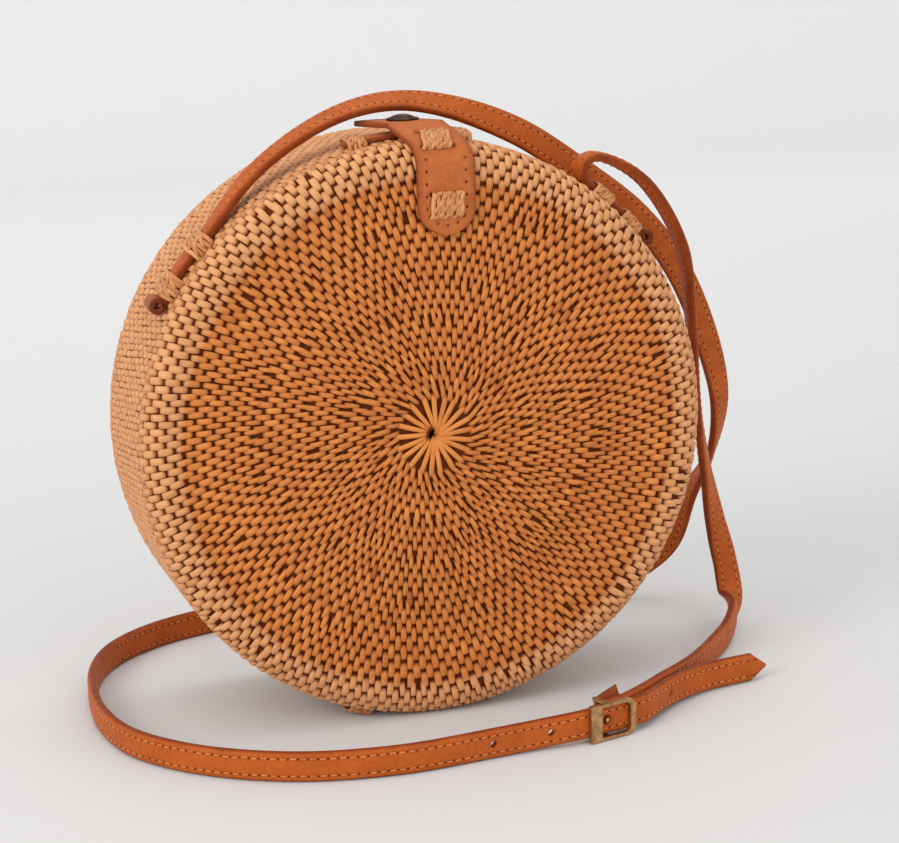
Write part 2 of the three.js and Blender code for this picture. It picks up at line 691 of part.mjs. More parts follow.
// Hinge ties under the bag, from the seam back, pressed flat where they meet the surface
const surfaceRoom = new THREE.BoxGeometry(2 * bagRadius, 2 * bagDepth, 2 * bagRadius);
const aboveSurface = toSolid(surfaceRoom.translate(0, 0, bagRadius));
for (const { name, angle, band } of hingeTies) {
  const y = seam + seamGap / 2 + hingeTieReach / 2;
  const block = knotBlock(hingeTieReach, band, hingeTieLength);
  const knot = placed(block, rimPoint(angle, fitGap, y), vector(0, 1, 0), outward(angle));
  add(name, toGeometry(toSolid(knot).intersect(aboveSurface)), lacedCane);
}

export default bag;
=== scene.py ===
"""Dressed model of a round coiled cane bag with a leather flap and a long buckled strap.

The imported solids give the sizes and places. Each sub-assembly of the bag is a class that holds
its own sizes, builds its meshes and dresses them. Metres, +Z up, the drum's axis along Y and its
front towards -Y; angles around the drum are in degrees from the top, positive to the right.
"""
import logging
import math
from dataclasses import dataclass, field
from enum import Enum

import bmesh
import bpy
import numpy as np
from mathutils import Matrix, Vector


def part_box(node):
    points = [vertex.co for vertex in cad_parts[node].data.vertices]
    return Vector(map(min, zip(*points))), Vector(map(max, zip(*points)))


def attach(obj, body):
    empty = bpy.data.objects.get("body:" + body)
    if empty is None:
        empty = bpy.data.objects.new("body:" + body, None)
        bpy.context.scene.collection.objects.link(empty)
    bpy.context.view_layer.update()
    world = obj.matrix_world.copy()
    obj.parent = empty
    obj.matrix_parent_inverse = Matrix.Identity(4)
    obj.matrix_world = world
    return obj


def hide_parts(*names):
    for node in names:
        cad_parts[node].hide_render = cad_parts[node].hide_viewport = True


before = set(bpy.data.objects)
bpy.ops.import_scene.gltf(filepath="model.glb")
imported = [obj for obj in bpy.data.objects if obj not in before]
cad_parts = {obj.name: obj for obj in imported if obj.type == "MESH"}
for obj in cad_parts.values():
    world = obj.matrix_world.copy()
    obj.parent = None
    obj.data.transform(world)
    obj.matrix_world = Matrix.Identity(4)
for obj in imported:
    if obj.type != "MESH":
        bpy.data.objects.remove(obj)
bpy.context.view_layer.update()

log = logging.getLogger("cane_bag")

Array = np.ndarray
Colour = tuple[float, float, float, float]
Socket = bpy.types.NodeSocket
Piece = bpy.types.Object


def linear(red: int, green: int, blue: int) -> Colour:
    """Scene-linear colour of an 8-bit screen colour.

    Args:
        red: Red from 0 to 255.
        green: Green from 0 to 255.
        blue: Blue from 0 to 255.

    Returns:
        The colour with an alpha of 1.
    """
    parts = []
    for part in (red, green, blue):
        share = part / 255
        parts.append(share / 12.92 if share <= 0.04045 else ((share + 0.055) / 1.055) ** 2.4)
    return parts[0], parts[1], parts[2], 1.0


def unit(vectors: Array) -> Array:
    """Vectors of the same directions with a length of 1."""
    return vectors / np.maximum(np.linalg.norm(vectors, axis=-1, keepdims=True), 1e-12)


def node_corners(node: str) -> tuple[Array, Array]:
    """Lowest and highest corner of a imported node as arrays."""
    low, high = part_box(node)
    return np.array(low), np.array(high)


def node_centre(node: str) -> Array:
    """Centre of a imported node's box."""
    low, high = node_corners(node)
    return (low + high) / 2


class Body(Enum):
    """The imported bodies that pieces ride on."""

    DRUM = "body"
    LID = "lid"


class Form:
    """Points, faces and named point values that become one mesh."""

    def __init__(self) -> None:
        self.points: list[Array] = []
        self.faces: list[Array] = []
        self.values: dict[str, list[Array]] = {}
        self.size = 0

    def add(self, points: Array, faces: list[Array], **values: Array) -> None:
        """Adds a shape.

        Args:
            points: Places, in an array whose last axis is X, Y and Z.
            faces: Arrays of corner numbers, one row a face.
            **values: Numbers or vectors for each point, under the same names for every shape.
        """
        flat = points.reshape(-1, 3)
        for face in faces:
            self.faces.append(face + self.size)
        self.points.append(flat)
        for name, value in values.items():
            self.values.setdefault(name, []).append(value.reshape(len(flat), -1))
        self.size += len(flat)

    def _volume(self, points: Array) -> float:
        """Signed volume of the closed form."""
        total = 0.0
        for face in self.faces:
            corners = points[face]
            for i in range(1, face.shape[1] - 1):
                turned = np.cross(corners[:, i], corners[:, i + 1])
                total += float((corners[:, 0] * turned).sum())
        return total

    def build(self, name: str, material: bpy.types.Material, smooth: bool = True) -> Piece:
        """Makes the mesh object.

        Args:
            name: The piece's name.
            material: Its finish.
            smooth: Whether its faces are shaded smooth.

        Returns:
            The new object, linked to the scene.
        """
        points = np.concatenate(self.points)
        faces = self.faces
        if self._volume(points) < 0:
            faces = [face[:, ::-1] for face in faces]
        sides = np.concatenate([np.full(len(face), face.shape[1]) for face in faces])
        corners = np.concatenate([face.reshape(-1) for face in faces])
        mesh = bpy.data.meshes.new(name)
        mesh.vertices.add(len(points))
        mesh.vertices.foreach_set("co", points.ravel())
        mesh.loops.add(len(corners))
        mesh.loops.foreach_set("vertex_index", corners.astype(np.int32))
        mesh.polygons.add(len(sides))
        mesh.polygons.foreach_set("loop_start", (np.cumsum(sides) - sides).astype(np.int32))
        mesh.update(calc_edges=True)
        for value_name, parts in self.values.items():
            value = np.concatenate(parts)
            kind = "FLOAT" if value.shape[1] == 1 else "FLOAT_VECTOR"
            layer = mesh.attributes.new(value_name, kind, "POINT")
            layer.data.foreach_set("value" if kind == "FLOAT" else "vector", value.ravel())
        mesh.validate()
        if smooth:
            mesh.shade_smooth()
        mesh.materials.append(material)
        piece = bpy.data.objects.new(name, mesh)
        bpy.context.scene.collection.objects.link(piece)
        return piece


def settle(piece: Piece, body: Body, node: str | None = None) -> None:
    """Puts a finished piece on its body and says what it is.

    Args:
        piece: The piece.
        body: The body that it rides on.
        node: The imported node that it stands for, if there is one.
    """
    if node:
        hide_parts(node)
    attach(piece, body.value)
    log.info("%s: %d faces", piece.name, len(piece.data.polygons))


def distances(centres: Array) -> Array:
    """Distance of each of a row of points from the first one, along the row."""
    return np.concatenate([[0], np.cumsum(np.linalg.norm(np.diff(centres, axis=0), axis=1))])


def square_to(axis: Array) -> Array:
    """A unit direction at right angles to an axis."""
    return unit(np.cross(axis, [0.31, 0.22, 0.91]))


def mirrored(rows: list[list[float]]) -> Array:
    """Path from its low end up to its middle, and down again on the other side."""
    half = np.array(rows)
    return np.concatenate([half, half[-2::-1] * [-1, 1]])


def sweep(centres: Array, sides: Array, ups: Array, widths: Array, heights: Array,
          section: Array, closed: bool = False) -> tuple[Array, list[Array]]:
    """Sweeps one section along many strips at once.

    Args:
        centres: Centre of each ring, by strip and ring.
        sides: Unit direction across each ring.
        ups: Unit direction up from each ring.
        widths: Scale of the section's first column at each ring.
        heights: Scale of its second column.
        section: Outline of the section, one row a point.
        closed: Whether each strip joins up with its own start.

    Returns:
        The points, by strip, ring and section point, and the faces.
    """
    across = (widths[..., None] * section[:, 0])[..., None]
    above = (heights[..., None] * section[:, 1])[..., None]
    points = centres[:, :, None] + sides[:, :, None] * across + ups[:, :, None] * above
    index = np.arange(points.size // 3).reshape(points.shape[:3])
    beside = np.roll(index, -1, axis=2)
    if closed:
        ahead, ahead_beside = np.roll(index, -1, axis=1), np.roll(beside, -1, axis=1)
        quads = np.stack([index, beside, ahead_beside, ahead], -1).reshape(-1, 4)
        return points, [quads]
    quads = np.stack([index[:, :-1], beside[:, :-1], beside[:, 1:], index[:, 1:]], -1)
    return points, [quads.reshape(-1, 4), index[:, 0, ::-1], index[:, -1]]


def rounded_section(half_width: float, half_height: float, corner: float, steps: int,
                    crown: float = 0.0, spans: int = 1) -> Array:
    """Outline of a flat band with rounded edges and slightly crowned faces.

    Args:
        half_width: Half its width.
        half_height: Half its thickness.
        corner: Radius of its edges.
        steps: Segments in each rounded corner.
        crown: How far its faces rise in the middle.
        spans: Segments across each face.

    Returns:
        One row a point, across and through.
    """
    rows = []
    corners = ((1, 1, 0), (-1, 1, 90), (-1, -1, 180), (1, -1, 270))
    for side, level, start in corners:
        centre = np.array([side * (half_width - corner), level * (half_height - corner)])
        for step in range(steps + 1):
            angle = math.radians(start + 90 * step / steps)
            rows.append(centre + corner * np.array([math.cos(angle), math.sin(angle)]))
        if start in (0, 180):
            for span in range(1, spans):
                across = -side * (half_width - corner) * (2 * span / spans - 1)
                rise = crown * (1 - (across / (half_width - corner)) ** 2)
                rows.append(np.array([across, level * (half_height + rise)]))
    return np.array(rows)


BACKWARD = np.array([0.0, 1.0, 0.0])
STRIP_SECTION = np.array([[-1.0, 0.0], [-0.9, 0.72], [0.0, 1.0], [0.9, 0.72], [1.0, 0.0]])
# Painted shade at the low edges of each stitch's and each lacing strand's section.
STITCH_SHADE = 0.6 * np.clip(0.8 - STRIP_SECTION[:, 1], 0, 1)
LACING_SHADE = np.clip(0.5 - STRIP_SECTION[:, 1], 0, 1)
THREAD_SECTION = np.array([[-0.9, 0.0], [-0.75, 0.7], [0.0, 1.0], [0.75, 0.7], [0.9, 0.0]])


def add_strips(form: Form, centres: Array, ups: Array, widths: Array, thick: Array, runs: Array,
               seeds: Array, tones: Array, depth: Array, shade: Array, rim: Array,
               sides: Array | None = None) -> None:
    """Adds strips of cane with the point values that their finish reads.

    Args:
        form: The form that takes them.
        centres: Middle of each ring's underside, by strip and ring.
        ups: Unit direction up from each ring.
        widths: Half widths.
        thick: Thicknesses.
        runs: Place of each ring along its length of cane.
        seeds: A number for each strip that moves its fibres.
        tones: Tone of each strip.
        depth: How deep each ring lies, from 0 to 1, painted as shade.
        shade: Painted shade added at each point of the section, darker at its edges.
        rim: Share of the rim's colours at each ring.
        sides: Unit direction across each ring, where the strip doesn't give it.
    """
    if sides is None:
        sides = unit(np.cross(unit(np.gradient(centres, axis=1)), ups))
    points, faces = sweep(centres, sides, ups, widths, thick, STRIP_SECTION)
    shape = points.shape[:3]
    seeds = seeds[:, None, None]
    fibre = np.stack([widths[..., None] * STRIP_SECTION[:, 0] + seeds,
                      np.broadcast_to(runs[..., None], shape), np.broadcast_to(seeds, shape)], -1)
    form.add(points, faces, fibre=fibre, tone=np.broadcast_to(tones[:, None, None], shape),
             depth=np.broadcast_to(np.clip(depth[..., None] + shade, 0, 1), shape),
             rim=np.broadcast_to(rim[..., None], shape))


class Course:
    """Smooth curve through chosen points, with even steps between each two of them."""

    def __init__(self, points: Array) -> None:
        self.points = np.asarray(points, dtype=float)

    def at(self, shares: Array) -> Array:
        """Values along the curve.

        Args:
            shares: Places from 0, the first point, to 1, the last.

        Returns:
            One row for each share.
        """
        points = self.points
        last = len(points) - 1
        padded = np.concatenate([[2 * points[0] - points[1]], points, [2 * points[-1] - points[-2]]])
        place = np.clip(np.asarray(shares, dtype=float), 0, 1) * last
        index = np.minimum(np.floor(place).astype(int), last - 1)
        weight = (place - index)[:, None]
        p0, p1, p2, p3 = (padded[index + i] for i in range(4))
        gaps = [np.maximum(((b - a) ** 2).sum(1) ** 0.25, 1e-6)[:, None]
                for a, b in ((p0, p1), (p1, p2), (p2, p3))]
        start = (p1 - p0) / gaps[0] - (p2 - p0) / (gaps[0] + gaps[1]) + (p2 - p1) / gaps[1]
        end = (p2 - p1) / gaps[1] - (p3 - p1) / (gaps[1] + gaps[2]) + (p3 - p2) / gaps[2]
        start, end = start * gaps[1], end * gaps[1]
        square, cube = weight ** 2, weight ** 3
        return (p1 + start * weight + (3 * (p2 - p1) - 2 * start - end) * square
                + (2 * (p1 - p2) + start + end) * cube)


class Graph:
    """Shader node tree with short calls to add, set and join nodes."""

    def __init__(self, tree: bpy.types.NodeTree) -> None:
        self.tree = tree

    def node(self, kind: str, **settings: object) -> bpy.types.Node:
        """Adds a node and sets its properties."""
        made = self.tree.nodes.new(kind)
        for name, value in settings.items():
            setattr(made, name, value)
        return made

    def feed(self, socket: Socket, value: object) -> None:
        """Links a socket to another one, or sets its value."""
        if isinstance(value, bpy.types.NodeSocket):
            self.tree.links.new(value, socket)
        else:
            socket.default_value = value

    def math(self, operation: str, *values: object, clamp: bool = False) -> Socket:
        """Result of a Math node."""
        made = self.node("ShaderNodeMath", operation=operation, use_clamp=clamp)
        for socket, value in zip(made.inputs, values):
            self.feed(socket, value)
        return made.outputs[0]

    def mix(self, factor: object, first: object, second: object) -> Socket:
        """Colour between two colours."""
        made = self.node("ShaderNodeMix", data_type="RGBA")
        made.clamp_factor = True
        for index, value in ((0, factor), (6, first), (7, second)):
            self.feed(made.inputs[index], value)
        return made.outputs[2]

    def span(self, value: Socket, low: float, high: float, start: float, end: float) -> Socket:
        """Value moved from one range to another and held within it."""
        made = self.node("ShaderNodeMapRange", clamp=True)
        for index, number in enumerate((value, low, high, start, end)):
            self.feed(made.inputs[index], number)
        return made.outputs[0]

    def scaled(self, vector: Socket, factors: tuple[float, float, float]) -> Socket:
        """Vector with each part multiplied."""
        made = self.node("ShaderNodeVectorMath", operation="MULTIPLY")
        self.feed(made.inputs[0], vector)
        made.inputs[1].default_value = factors
        return made.outputs[0]

    def noise(self, vector: Socket, scale: float, detail: float = 2.0, rough: float = 0.5) -> Socket:
        """Value of a Noise Texture."""
        made = self.node("ShaderNodeTexNoise")
        self.feed(made.inputs["Vector"], vector)
        made.inputs["Scale"].default_value = scale
        made.inputs["Detail"].default_value = detail
        made.inputs["Roughness"].default_value = rough
        return made.outputs[0]

    def cells(self, vector: Socket, scale: float) -> Socket:
        """Distance of a Voronoi Texture."""
        made = self.node("ShaderNodeTexVoronoi")
        self.feed(made.inputs["Vector"], vector)
        made.inputs["Scale"].default_value = scale
        return made.outputs[0]

    def value(self, name: str, vector: bool = False) -> Socket:
        """Named point value of the mesh."""
        made = self.node("ShaderNodeAttribute", attribute_name=name)
        return made.outputs["Vector" if vector else "Fac"]

    def place(self) -> Socket:
        """Place in the object's own frame."""
        return self.node("ShaderNodeTexCoord").outputs["Object"]

    def group(self, tree: bpy.types.NodeTree, **values: object) -> bpy.types.Node:
        """Adds a node group and feeds its inputs by name."""
        made = self.node("ShaderNodeGroup", node_tree=tree)
        for name, value in values.items():
            self.feed(made.inputs[name], value)
        return made


class EffectGroup:
    """Shader node group with named inputs and outputs."""

    KINDS = {"value": "NodeSocketFloat", "vector": "NodeSocketVector", "colour": "NodeSocketColor"}

    def __init__(self, name: str, inputs: dict[str, str], outputs: dict[str, str]) -> None:
        self.tree = bpy.data.node_groups.new(name, "ShaderNodeTree")
        for socket, kind in inputs.items():
            self.tree.interface.new_socket(socket, in_out="INPUT", socket_type=self.KINDS[kind])
        for socket, kind in outputs.items():
            self.tree.interface.new_socket(socket, in_out="OUTPUT", socket_type=self.KINDS[kind])
        self.graph = Graph(self.tree)
        self.inputs = self.graph.node("NodeGroupInput").outputs
        self.outputs = self.graph.node("NodeGroupOutput").inputs


class Effects:
    """The effects that more than one finish uses, each built once."""

    def __init__(self) -> None:
        self.fibre = self._fibre()
        self.hide = self._hide()
        self.needle_rows = self._needle_rows()
        self.patina = self._patina()

    def _fibre(self) -> bpy.types.NodeTree:
        """Fine streaks along a cane strip, its tone, and painted shade: the gap colour mixed in where
        the strip lies deep.
        """
        made = EffectGroup(
            "cane_fibre",
            {"Fibre": "vector", "Tone": "value", "Depth": "value",
             "Pale": "colour", "Deep": "colour", "Gap": "colour"},
            {"Colour": "colour", "Height": "value", "Roughness": "value"},
        )
        graph, inputs = made.graph, made.inputs
        streaks = graph.noise(graph.scaled(inputs["Fibre"], (3600, 130, 40)), 1.0, 3.0, 0.6)
        blotches = graph.noise(graph.scaled(inputs["Fibre"], (500, 260, 40)), 1.0, 2.0)
        swing = graph.math("MULTIPLY_ADD", graph.math("SUBTRACT", streaks, 0.5), 0.75, inputs["Tone"])
        swing = graph.math("MULTIPLY_ADD", graph.math("SUBTRACT", blotches, 0.5), 0.5, swing, clamp=True)
        surface = graph.mix(swing, inputs["Deep"], inputs["Pale"])
        # Painted shade: the deeper a place lies, the more it takes the gap colour.
        shade = graph.math("POWER", inputs["Depth"], 1.35)
        graph.feed(made.outputs["Colour"], graph.mix(shade, surface, inputs["Gap"]))
        graph.feed(made.outputs["Height"], streaks)
        rough = graph.math("MULTIPLY_ADD", shade, 0.4, graph.span(streaks, 0.3, 0.7, 0.4, 0.58))
        graph.feed(made.outputs["Roughness"], rough)
        return made.tree

    def _hide(self) -> bpy.types.NodeTree:
        """Leather's clouded tone, pores and creases, darker at its burnished edges and with painted
        shade on the walls of cut holes.
        """
        made = EffectGroup(
            "leather_hide",
            {"Place": "vector", "Rubbed": "value", "Tanned": "colour", "Burnt": "colour"},
            {"Colour": "colour", "Height": "value", "Roughness": "value"},
        )
        graph, inputs = made.graph, made.inputs
        clouds = graph.noise(inputs["Place"], 95.0, 3.0, 0.6)
        mottle = graph.noise(inputs["Place"], 700.0, 2.0, 0.6)
        pores = graph.cells(inputs["Place"], 1900.0)
        creases = graph.noise(graph.scaled(inputs["Place"], (260, 1500, 1500)), 1.0, 2.0)
        darkness = graph.math("MULTIPLY_ADD", graph.span(clouds, 0.35, 0.7, 0, 1), 0.3,
                              graph.math("MULTIPLY", inputs["Rubbed"], 0.75))
        darkness = graph.math("MULTIPLY_ADD", graph.span(mottle, 0.4, 0.7, 0, 1), 0.22, darkness,
                              clamp=True)
        graph.feed(made.outputs["Colour"], graph.mix(darkness, inputs["Tanned"], inputs["Burnt"]))
        grain = graph.math("MULTIPLY_ADD", pores, 0.6, graph.math("MULTIPLY", creases, 0.5))
        graph.feed(made.outputs["Height"], graph.math("MULTIPLY_ADD", mottle, 0.5, grain))
        graph.feed(made.outputs["Roughness"], graph.span(mottle, 0.3, 0.75, 0.44, 0.64))
        return made.tree

    def _needle_rows(self) -> bpy.types.NodeTree:
        """Masks of two rows of needle holes along a strap, where the leather paints shade, and of the
        groove that the thread pulls in.
        """
        made = EffectGroup(
            "needle_rows",
            {"Run": "value", "Across": "value", "Pitch": "value", "Row": "value", "Size": "value"},
            {"Hole": "value", "Groove": "value"},
        )
        graph, inputs = made.graph, made.inputs
        phase = graph.math("FRACT", graph.math("DIVIDE", inputs["Run"], inputs["Pitch"]))
        along = graph.math("MULTIPLY", graph.math("SUBTRACT", phase, 0.5), inputs["Pitch"])
        offset = graph.math("SUBTRACT", graph.math("ABSOLUTE", inputs["Across"]), inputs["Row"])
        squared = graph.math("MULTIPLY_ADD", along, along, graph.math("MULTIPLY", offset, offset))
        distance = graph.math("DIVIDE", graph.math("SQRT", squared), inputs["Size"])
        graph.feed(made.outputs["Hole"], graph.span(distance, 0.55, 1.1, 1, 0))
        width = graph.math("DIVIDE", graph.math("ABSOLUTE", offset), inputs["Size"])
        graph.feed(made.outputs["Groove"], graph.span(width, 0.4, 1.8, 1, 0))
        return made.tree

    def _patina(self) -> bpy.types.NodeTree:
        """Metal that has darkened in patches, with fine brushed streaks."""
        made = EffectGroup(
            "metal_patina",
            {"Place": "vector", "Bright": "colour", "Tarnish": "colour"},
            {"Colour": "colour", "Height": "value", "Roughness": "value"},
        )
        graph, inputs = made.graph, made.inputs
        patches = graph.noise(inputs["Place"], 420.0, 4.0, 0.65)
        brushed = graph.noise(graph.scaled(inputs["Place"], (350, 350, 6500)), 1.0, 2.0)
        amount = graph.math("MULTIPLY_ADD", graph.math("SUBTRACT", brushed, 0.5), 0.5,
                            graph.span(patches, 0.35, 0.68, 0, 1), clamp=True)
        graph.feed(made.outputs["Colour"], graph.mix(amount, inputs["Bright"], inputs["Tarnish"]))
        graph.feed(made.outputs["Height"], brushed)
        graph.feed(made.outputs["Roughness"], graph.span(patches, 0.3, 0.7, 0.3, 0.52))
        return made.tree


def new_material(name: str) -> tuple[bpy.types.Material, Graph, bpy.types.Node]:
    """Empty material with a Principled shader.

    Args:
        name: The material's name.

    Returns:
        The material, its graph and the shader node.
    """
    material = bpy.data.materials.new(name)
    material.use_nodes = True
    graph = Graph(material.node_tree)
    return material, graph, material.node_tree.nodes["Principled BSDF"]


def fed_fibre(graph: Graph, effects: Effects, pale: object, deep: object,
              gap: object) -> bpy.types.NodeOutputs:
    """Fibre effect on a mesh that carries fibre, tone and depth.

    Args:
        graph: The material's graph.
        effects: The shared effects.
        pale: Colour of the skin.
        deep: Its deeper tone.
        gap: Colour of the gaps, painted in as shade where the cane lies deep.

    Returns:
        The effect's outputs.
    """
    return graph.group(
        effects.fibre, Fibre=graph.value("fibre", vector=True), Tone=graph.value("tone"),
        Depth=graph.value("depth"), Pale=pale, Deep=deep, Gap=gap,
    ).outputs


def surface(graph: Graph, shader: bpy.types.Node, colour: Socket, roughness: object,
            height: Socket, strength: float, depth: float) -> None:
    """Gives a shader its colour, roughness and relief.

    Args:
        graph: The material's graph.
        shader: Its shader.
        colour: The surface's colour.
        roughness: Its roughness.
        height: Where the surface is high.
        strength: Strength of the relief.
        depth: Height of the relief, in metres.
    """
    graph.feed(shader.inputs["Base Color"], colour)
    graph.feed(shader.inputs["Roughness"], roughness)
    node = graph.node("ShaderNodeBump")
    node.inputs["Strength"].default_value = strength
    node.inputs["Distance"].default_value = depth
    graph.feed(node.inputs["Height"], height)
    graph.feed(shader.inputs["Normal"], node.outputs["Normal"])


@dataclass(frozen=True)
class CaneFinish:
    """Split cane: pale skin, deeper tone and the dark of the gaps, on the faces and the rim, whose paler
    colours are partly its own tone and partly painted light.
    """

    name: str
    pale: Colour
    deep: Colour
    gap: Colour
    rim_pale: Colour
    rim_deep: Colour
    rim_gap: Colour
    specular: float = 0.3

    def material(self, effects: Effects) -> bpy.types.Material:
        """Material of strips whose meshes carry fibre, tone, depth and rim."""
        material, graph, shader = new_material(self.name)
        rim = graph.value("rim")
        fibre = fed_fibre(graph, effects, graph.mix(rim, self.pale, self.rim_pale),
                          graph.mix(rim, self.deep, self.rim_deep),
                          graph.mix(rim, self.gap, self.rim_gap))
        shader.inputs["Specular IOR Level"].default_value = self.specular
        surface(graph, shader, fibre["Colour"], fibre["Roughness"], fibre["Height"], 0.5, 0.00012)
        return material


@dataclass(frozen=True)
class InnerCaneFinish:
    """Inside of a shell: the stitches' back, as relief on the coils with painted shade between the
    ridges.
    """

    name: str
    pale: Colour
    deep: Colour
    gap: Colour
    specular: float = 0.05
    # Strength of the painted shade between the ridges.
    shading: float = 0.75

    def material(self, effects: Effects) -> bpy.types.Material:
        """Material of a shell's core, whose mesh carries its coils and the angle around them."""
        material, graph, shader = new_material(self.name)
        coil = graph.value("coil")
        shift = graph.math("MULTIPLY", graph.math("FLOOR", coil), 0.5)
        angle = graph.math("ARCTAN2", graph.value("sine"), graph.value("cosine"))
        turn = graph.math("MULTIPLY", angle, graph.value("stitches"))
        phase = graph.math("FRACT", graph.math("ADD", turn, shift))
        width = graph.math("ABSOLUTE", graph.math("SUBTRACT", phase, 0.5))
        ridge = graph.span(width, 0.16, 0.27, 1, 0)
        hump = graph.math("SINE", graph.math("MULTIPLY", graph.math("FRACT", coil), math.pi))
        relief = graph.math("MULTIPLY", ridge, graph.math("POWER", hump, 0.5))
        inside = graph.value("inside")
        fibre = fed_fibre(graph, effects, self.pale, self.deep, self.gap)
        # Painted shade between the ridges of the stitches' backs.
        shade = graph.math("MULTIPLY", inside, graph.math("SUBTRACT", 1.0, relief))
        colour = graph.mix(graph.math("MULTIPLY", shade, self.shading), fibre["Colour"], self.gap)
        shader.inputs["Specular IOR Level"].default_value = self.specular
        surface(graph, shader, colour, fibre["Roughness"],
                graph.math("MULTIPLY", inside, relief), 0.9, 0.0005)
        return material


@dataclass(frozen=True)
class LeatherFinish:
    """Vegetable-tanned leather with burnished edges, and needle rows where it is sewn, their holes
    painted dark as shade.
    """

    name: str
    tanned: Colour
    burnt: Colour
    # Painted shade inside the needle holes.
    hole: Colour
    sewn: bool = False
    pitch: float = 0.0032
    row: float = 0.0029
    needle: float = 0.00042
    specular: float = 0.14

    def material(self, effects: Effects) -> bpy.types.Material:
        """Material of leather whose mesh carries hide, the place along, across and through it."""
        material, graph, shader = new_material(self.name)
        place = graph.value("hide", vector=True)
        hide = graph.group(effects.hide, Place=place, Rubbed=graph.value("rubbed"),
                           Tanned=self.tanned, Burnt=self.burnt).outputs
        colour, height = hide["Colour"], hide["Height"]
        if self.sewn:
            split = graph.node("ShaderNodeSeparateXYZ")
            graph.feed(split.inputs[0], place)
            needle = graph.group(effects.needle_rows, Run=split.outputs[0], Across=split.outputs[1],
                                 Pitch=self.pitch, Row=self.row, Size=self.needle).outputs
            face = graph.span(graph.math("ABSOLUTE", split.outputs[2]), 0.0010, 0.0014, 0, 1)
            # The groove is drawn darker; the needle holes take the hole colour as painted shade, and
            # both sink.
            marks = (("Groove", 0.35, self.burnt, 1.2), ("Hole", 0.9, self.hole, 2.5))
            for output, tint, dark, sink in marks:
                mark = graph.math("MULTIPLY", needle[output], face)
                colour = graph.mix(graph.math("MULTIPLY", mark, tint), colour, dark)
                height = graph.math("SUBTRACT", height, graph.math("MULTIPLY", mark, sink))
        shader.inputs["Specular IOR Level"].default_value = self.specular
        surface(graph, shader, colour, hide["Roughness"], height, 0.45, 0.00012)
        return material


@dataclass(frozen=True)
class MetalFinish:
    """Antique brass."""

    name: str
    bright: Colour
    tarnish: Colour

    def material(self, effects: Effects) -> bpy.types.Material:
        """Material of a metal piece."""
        material, graph, shader = new_material(self.name)
        patina = graph.group(effects.patina, Place=graph.place(), Bright=self.bright,
                             Tarnish=self.tarnish).outputs
        shader.inputs["Metallic"].default_value = 1.0
        surface(graph, shader, patina["Colour"], patina["Roughness"], patina["Height"], 0.25, 0.00004)
        return material


@dataclass(frozen=True)
class ThreadFinish:
    """Waxed sewing thread."""

    name: str
    light: Colour
    dark: Colour
    roughness: float = 0.6

    def material(self, effects: Effects) -> bpy.types.Material:
        """Material of thread whose mesh carries fibre, tone and depth."""
        material, graph, shader = new_material(self.name)
        fibre = fed_fibre(graph, effects, self.light, self.dark, self.dark)
        surface(graph, shader, fibre["Colour"], self.roughness, fibre["Height"], 0.6, 0.0001)
        return material


# The rim's colours are paler, partly as the rim cane's own tone and partly as painted light from the
# lamp on the left.
CANE = CaneFinish(
    "stitched_cane", linear(222, 138, 64), linear(172, 90, 34), linear(92, 28, 6),
    linear(226, 164, 110), linear(198, 132, 80), linear(142, 76, 40),
)
LACING = CaneFinish(
    "laced_cane", linear(214, 150, 96), linear(172, 104, 56), linear(84, 34, 12),
    linear(214, 150, 96), linear(172, 104, 56), linear(84, 34, 12),
)
CORE = InnerCaneFinish("coil_core", linear(170, 98, 44), linear(124, 60, 22), linear(78, 24, 8))
STRAP_LEATHER = LeatherFinish("strap_leather", linear(188, 92, 31), linear(126, 52, 16),
                              linear(56, 18, 6), sewn=True)
PLAIN_LEATHER = LeatherFinish("loop_leather", linear(166, 86, 46), linear(106, 48, 22),
                              linear(56, 18, 6))
FLAP_LEATHER = LeatherFinish("flap_leather", linear(190, 105, 54), linear(136, 64, 28),
                             linear(56, 18, 6))
THREAD = ThreadFinish("sewing_thread", linear(218, 130, 58), linear(180, 90, 32))
BRASS = MetalFinish("antique_brass", linear(206, 166, 116), linear(150, 108, 66))
DARK_BRASS = MetalFinish("dark_brass", linear(92, 66, 48), linear(40, 26, 20))


@dataclass(frozen=True)
class DrumFrame:
    """Sizes of the drum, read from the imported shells."""

    radius: float
    front: float
    back: float
    lid_edge: float
    shell_edge: float
    edge_radius: float = 0.0085
    wall: float = 0.0028

    @classmethod
    def read(cls) -> "DrumFrame":
        """Reads the shells' boxes."""
        lid_low, lid_high = node_corners("front_lid")
        shell_low, shell_high = node_corners("back_shell")
        return cls(
            radius=float(shell_high[2] - shell_low[2]) / 2,
            front=float(lid_low[1]), back=float(shell_high[1]),
            lid_edge=float(lid_high[1]), shell_edge=float(shell_low[1]),
        )

    def rim_point(self, angle: float, height: float, depth: float) -> Array:
        """Point at an angle around the drum, a height above its rim and a place along Y."""
        turn = math.radians(angle)
        reach = self.radius + height
        return np.array([reach * math.sin(turn), depth, self.radius + reach * math.cos(turn)])

    def outward(self, angle: float) -> Array:
        """Unit vector away from the drum's axis at an angle."""
        return np.array([math.sin(math.radians(angle)), 0.0, math.cos(math.radians(angle))])

    def angle_of(self, point: Array) -> float:
        """Angle around the drum of a point."""
        return math.degrees(math.atan2(point[0], point[2] - self.radius))


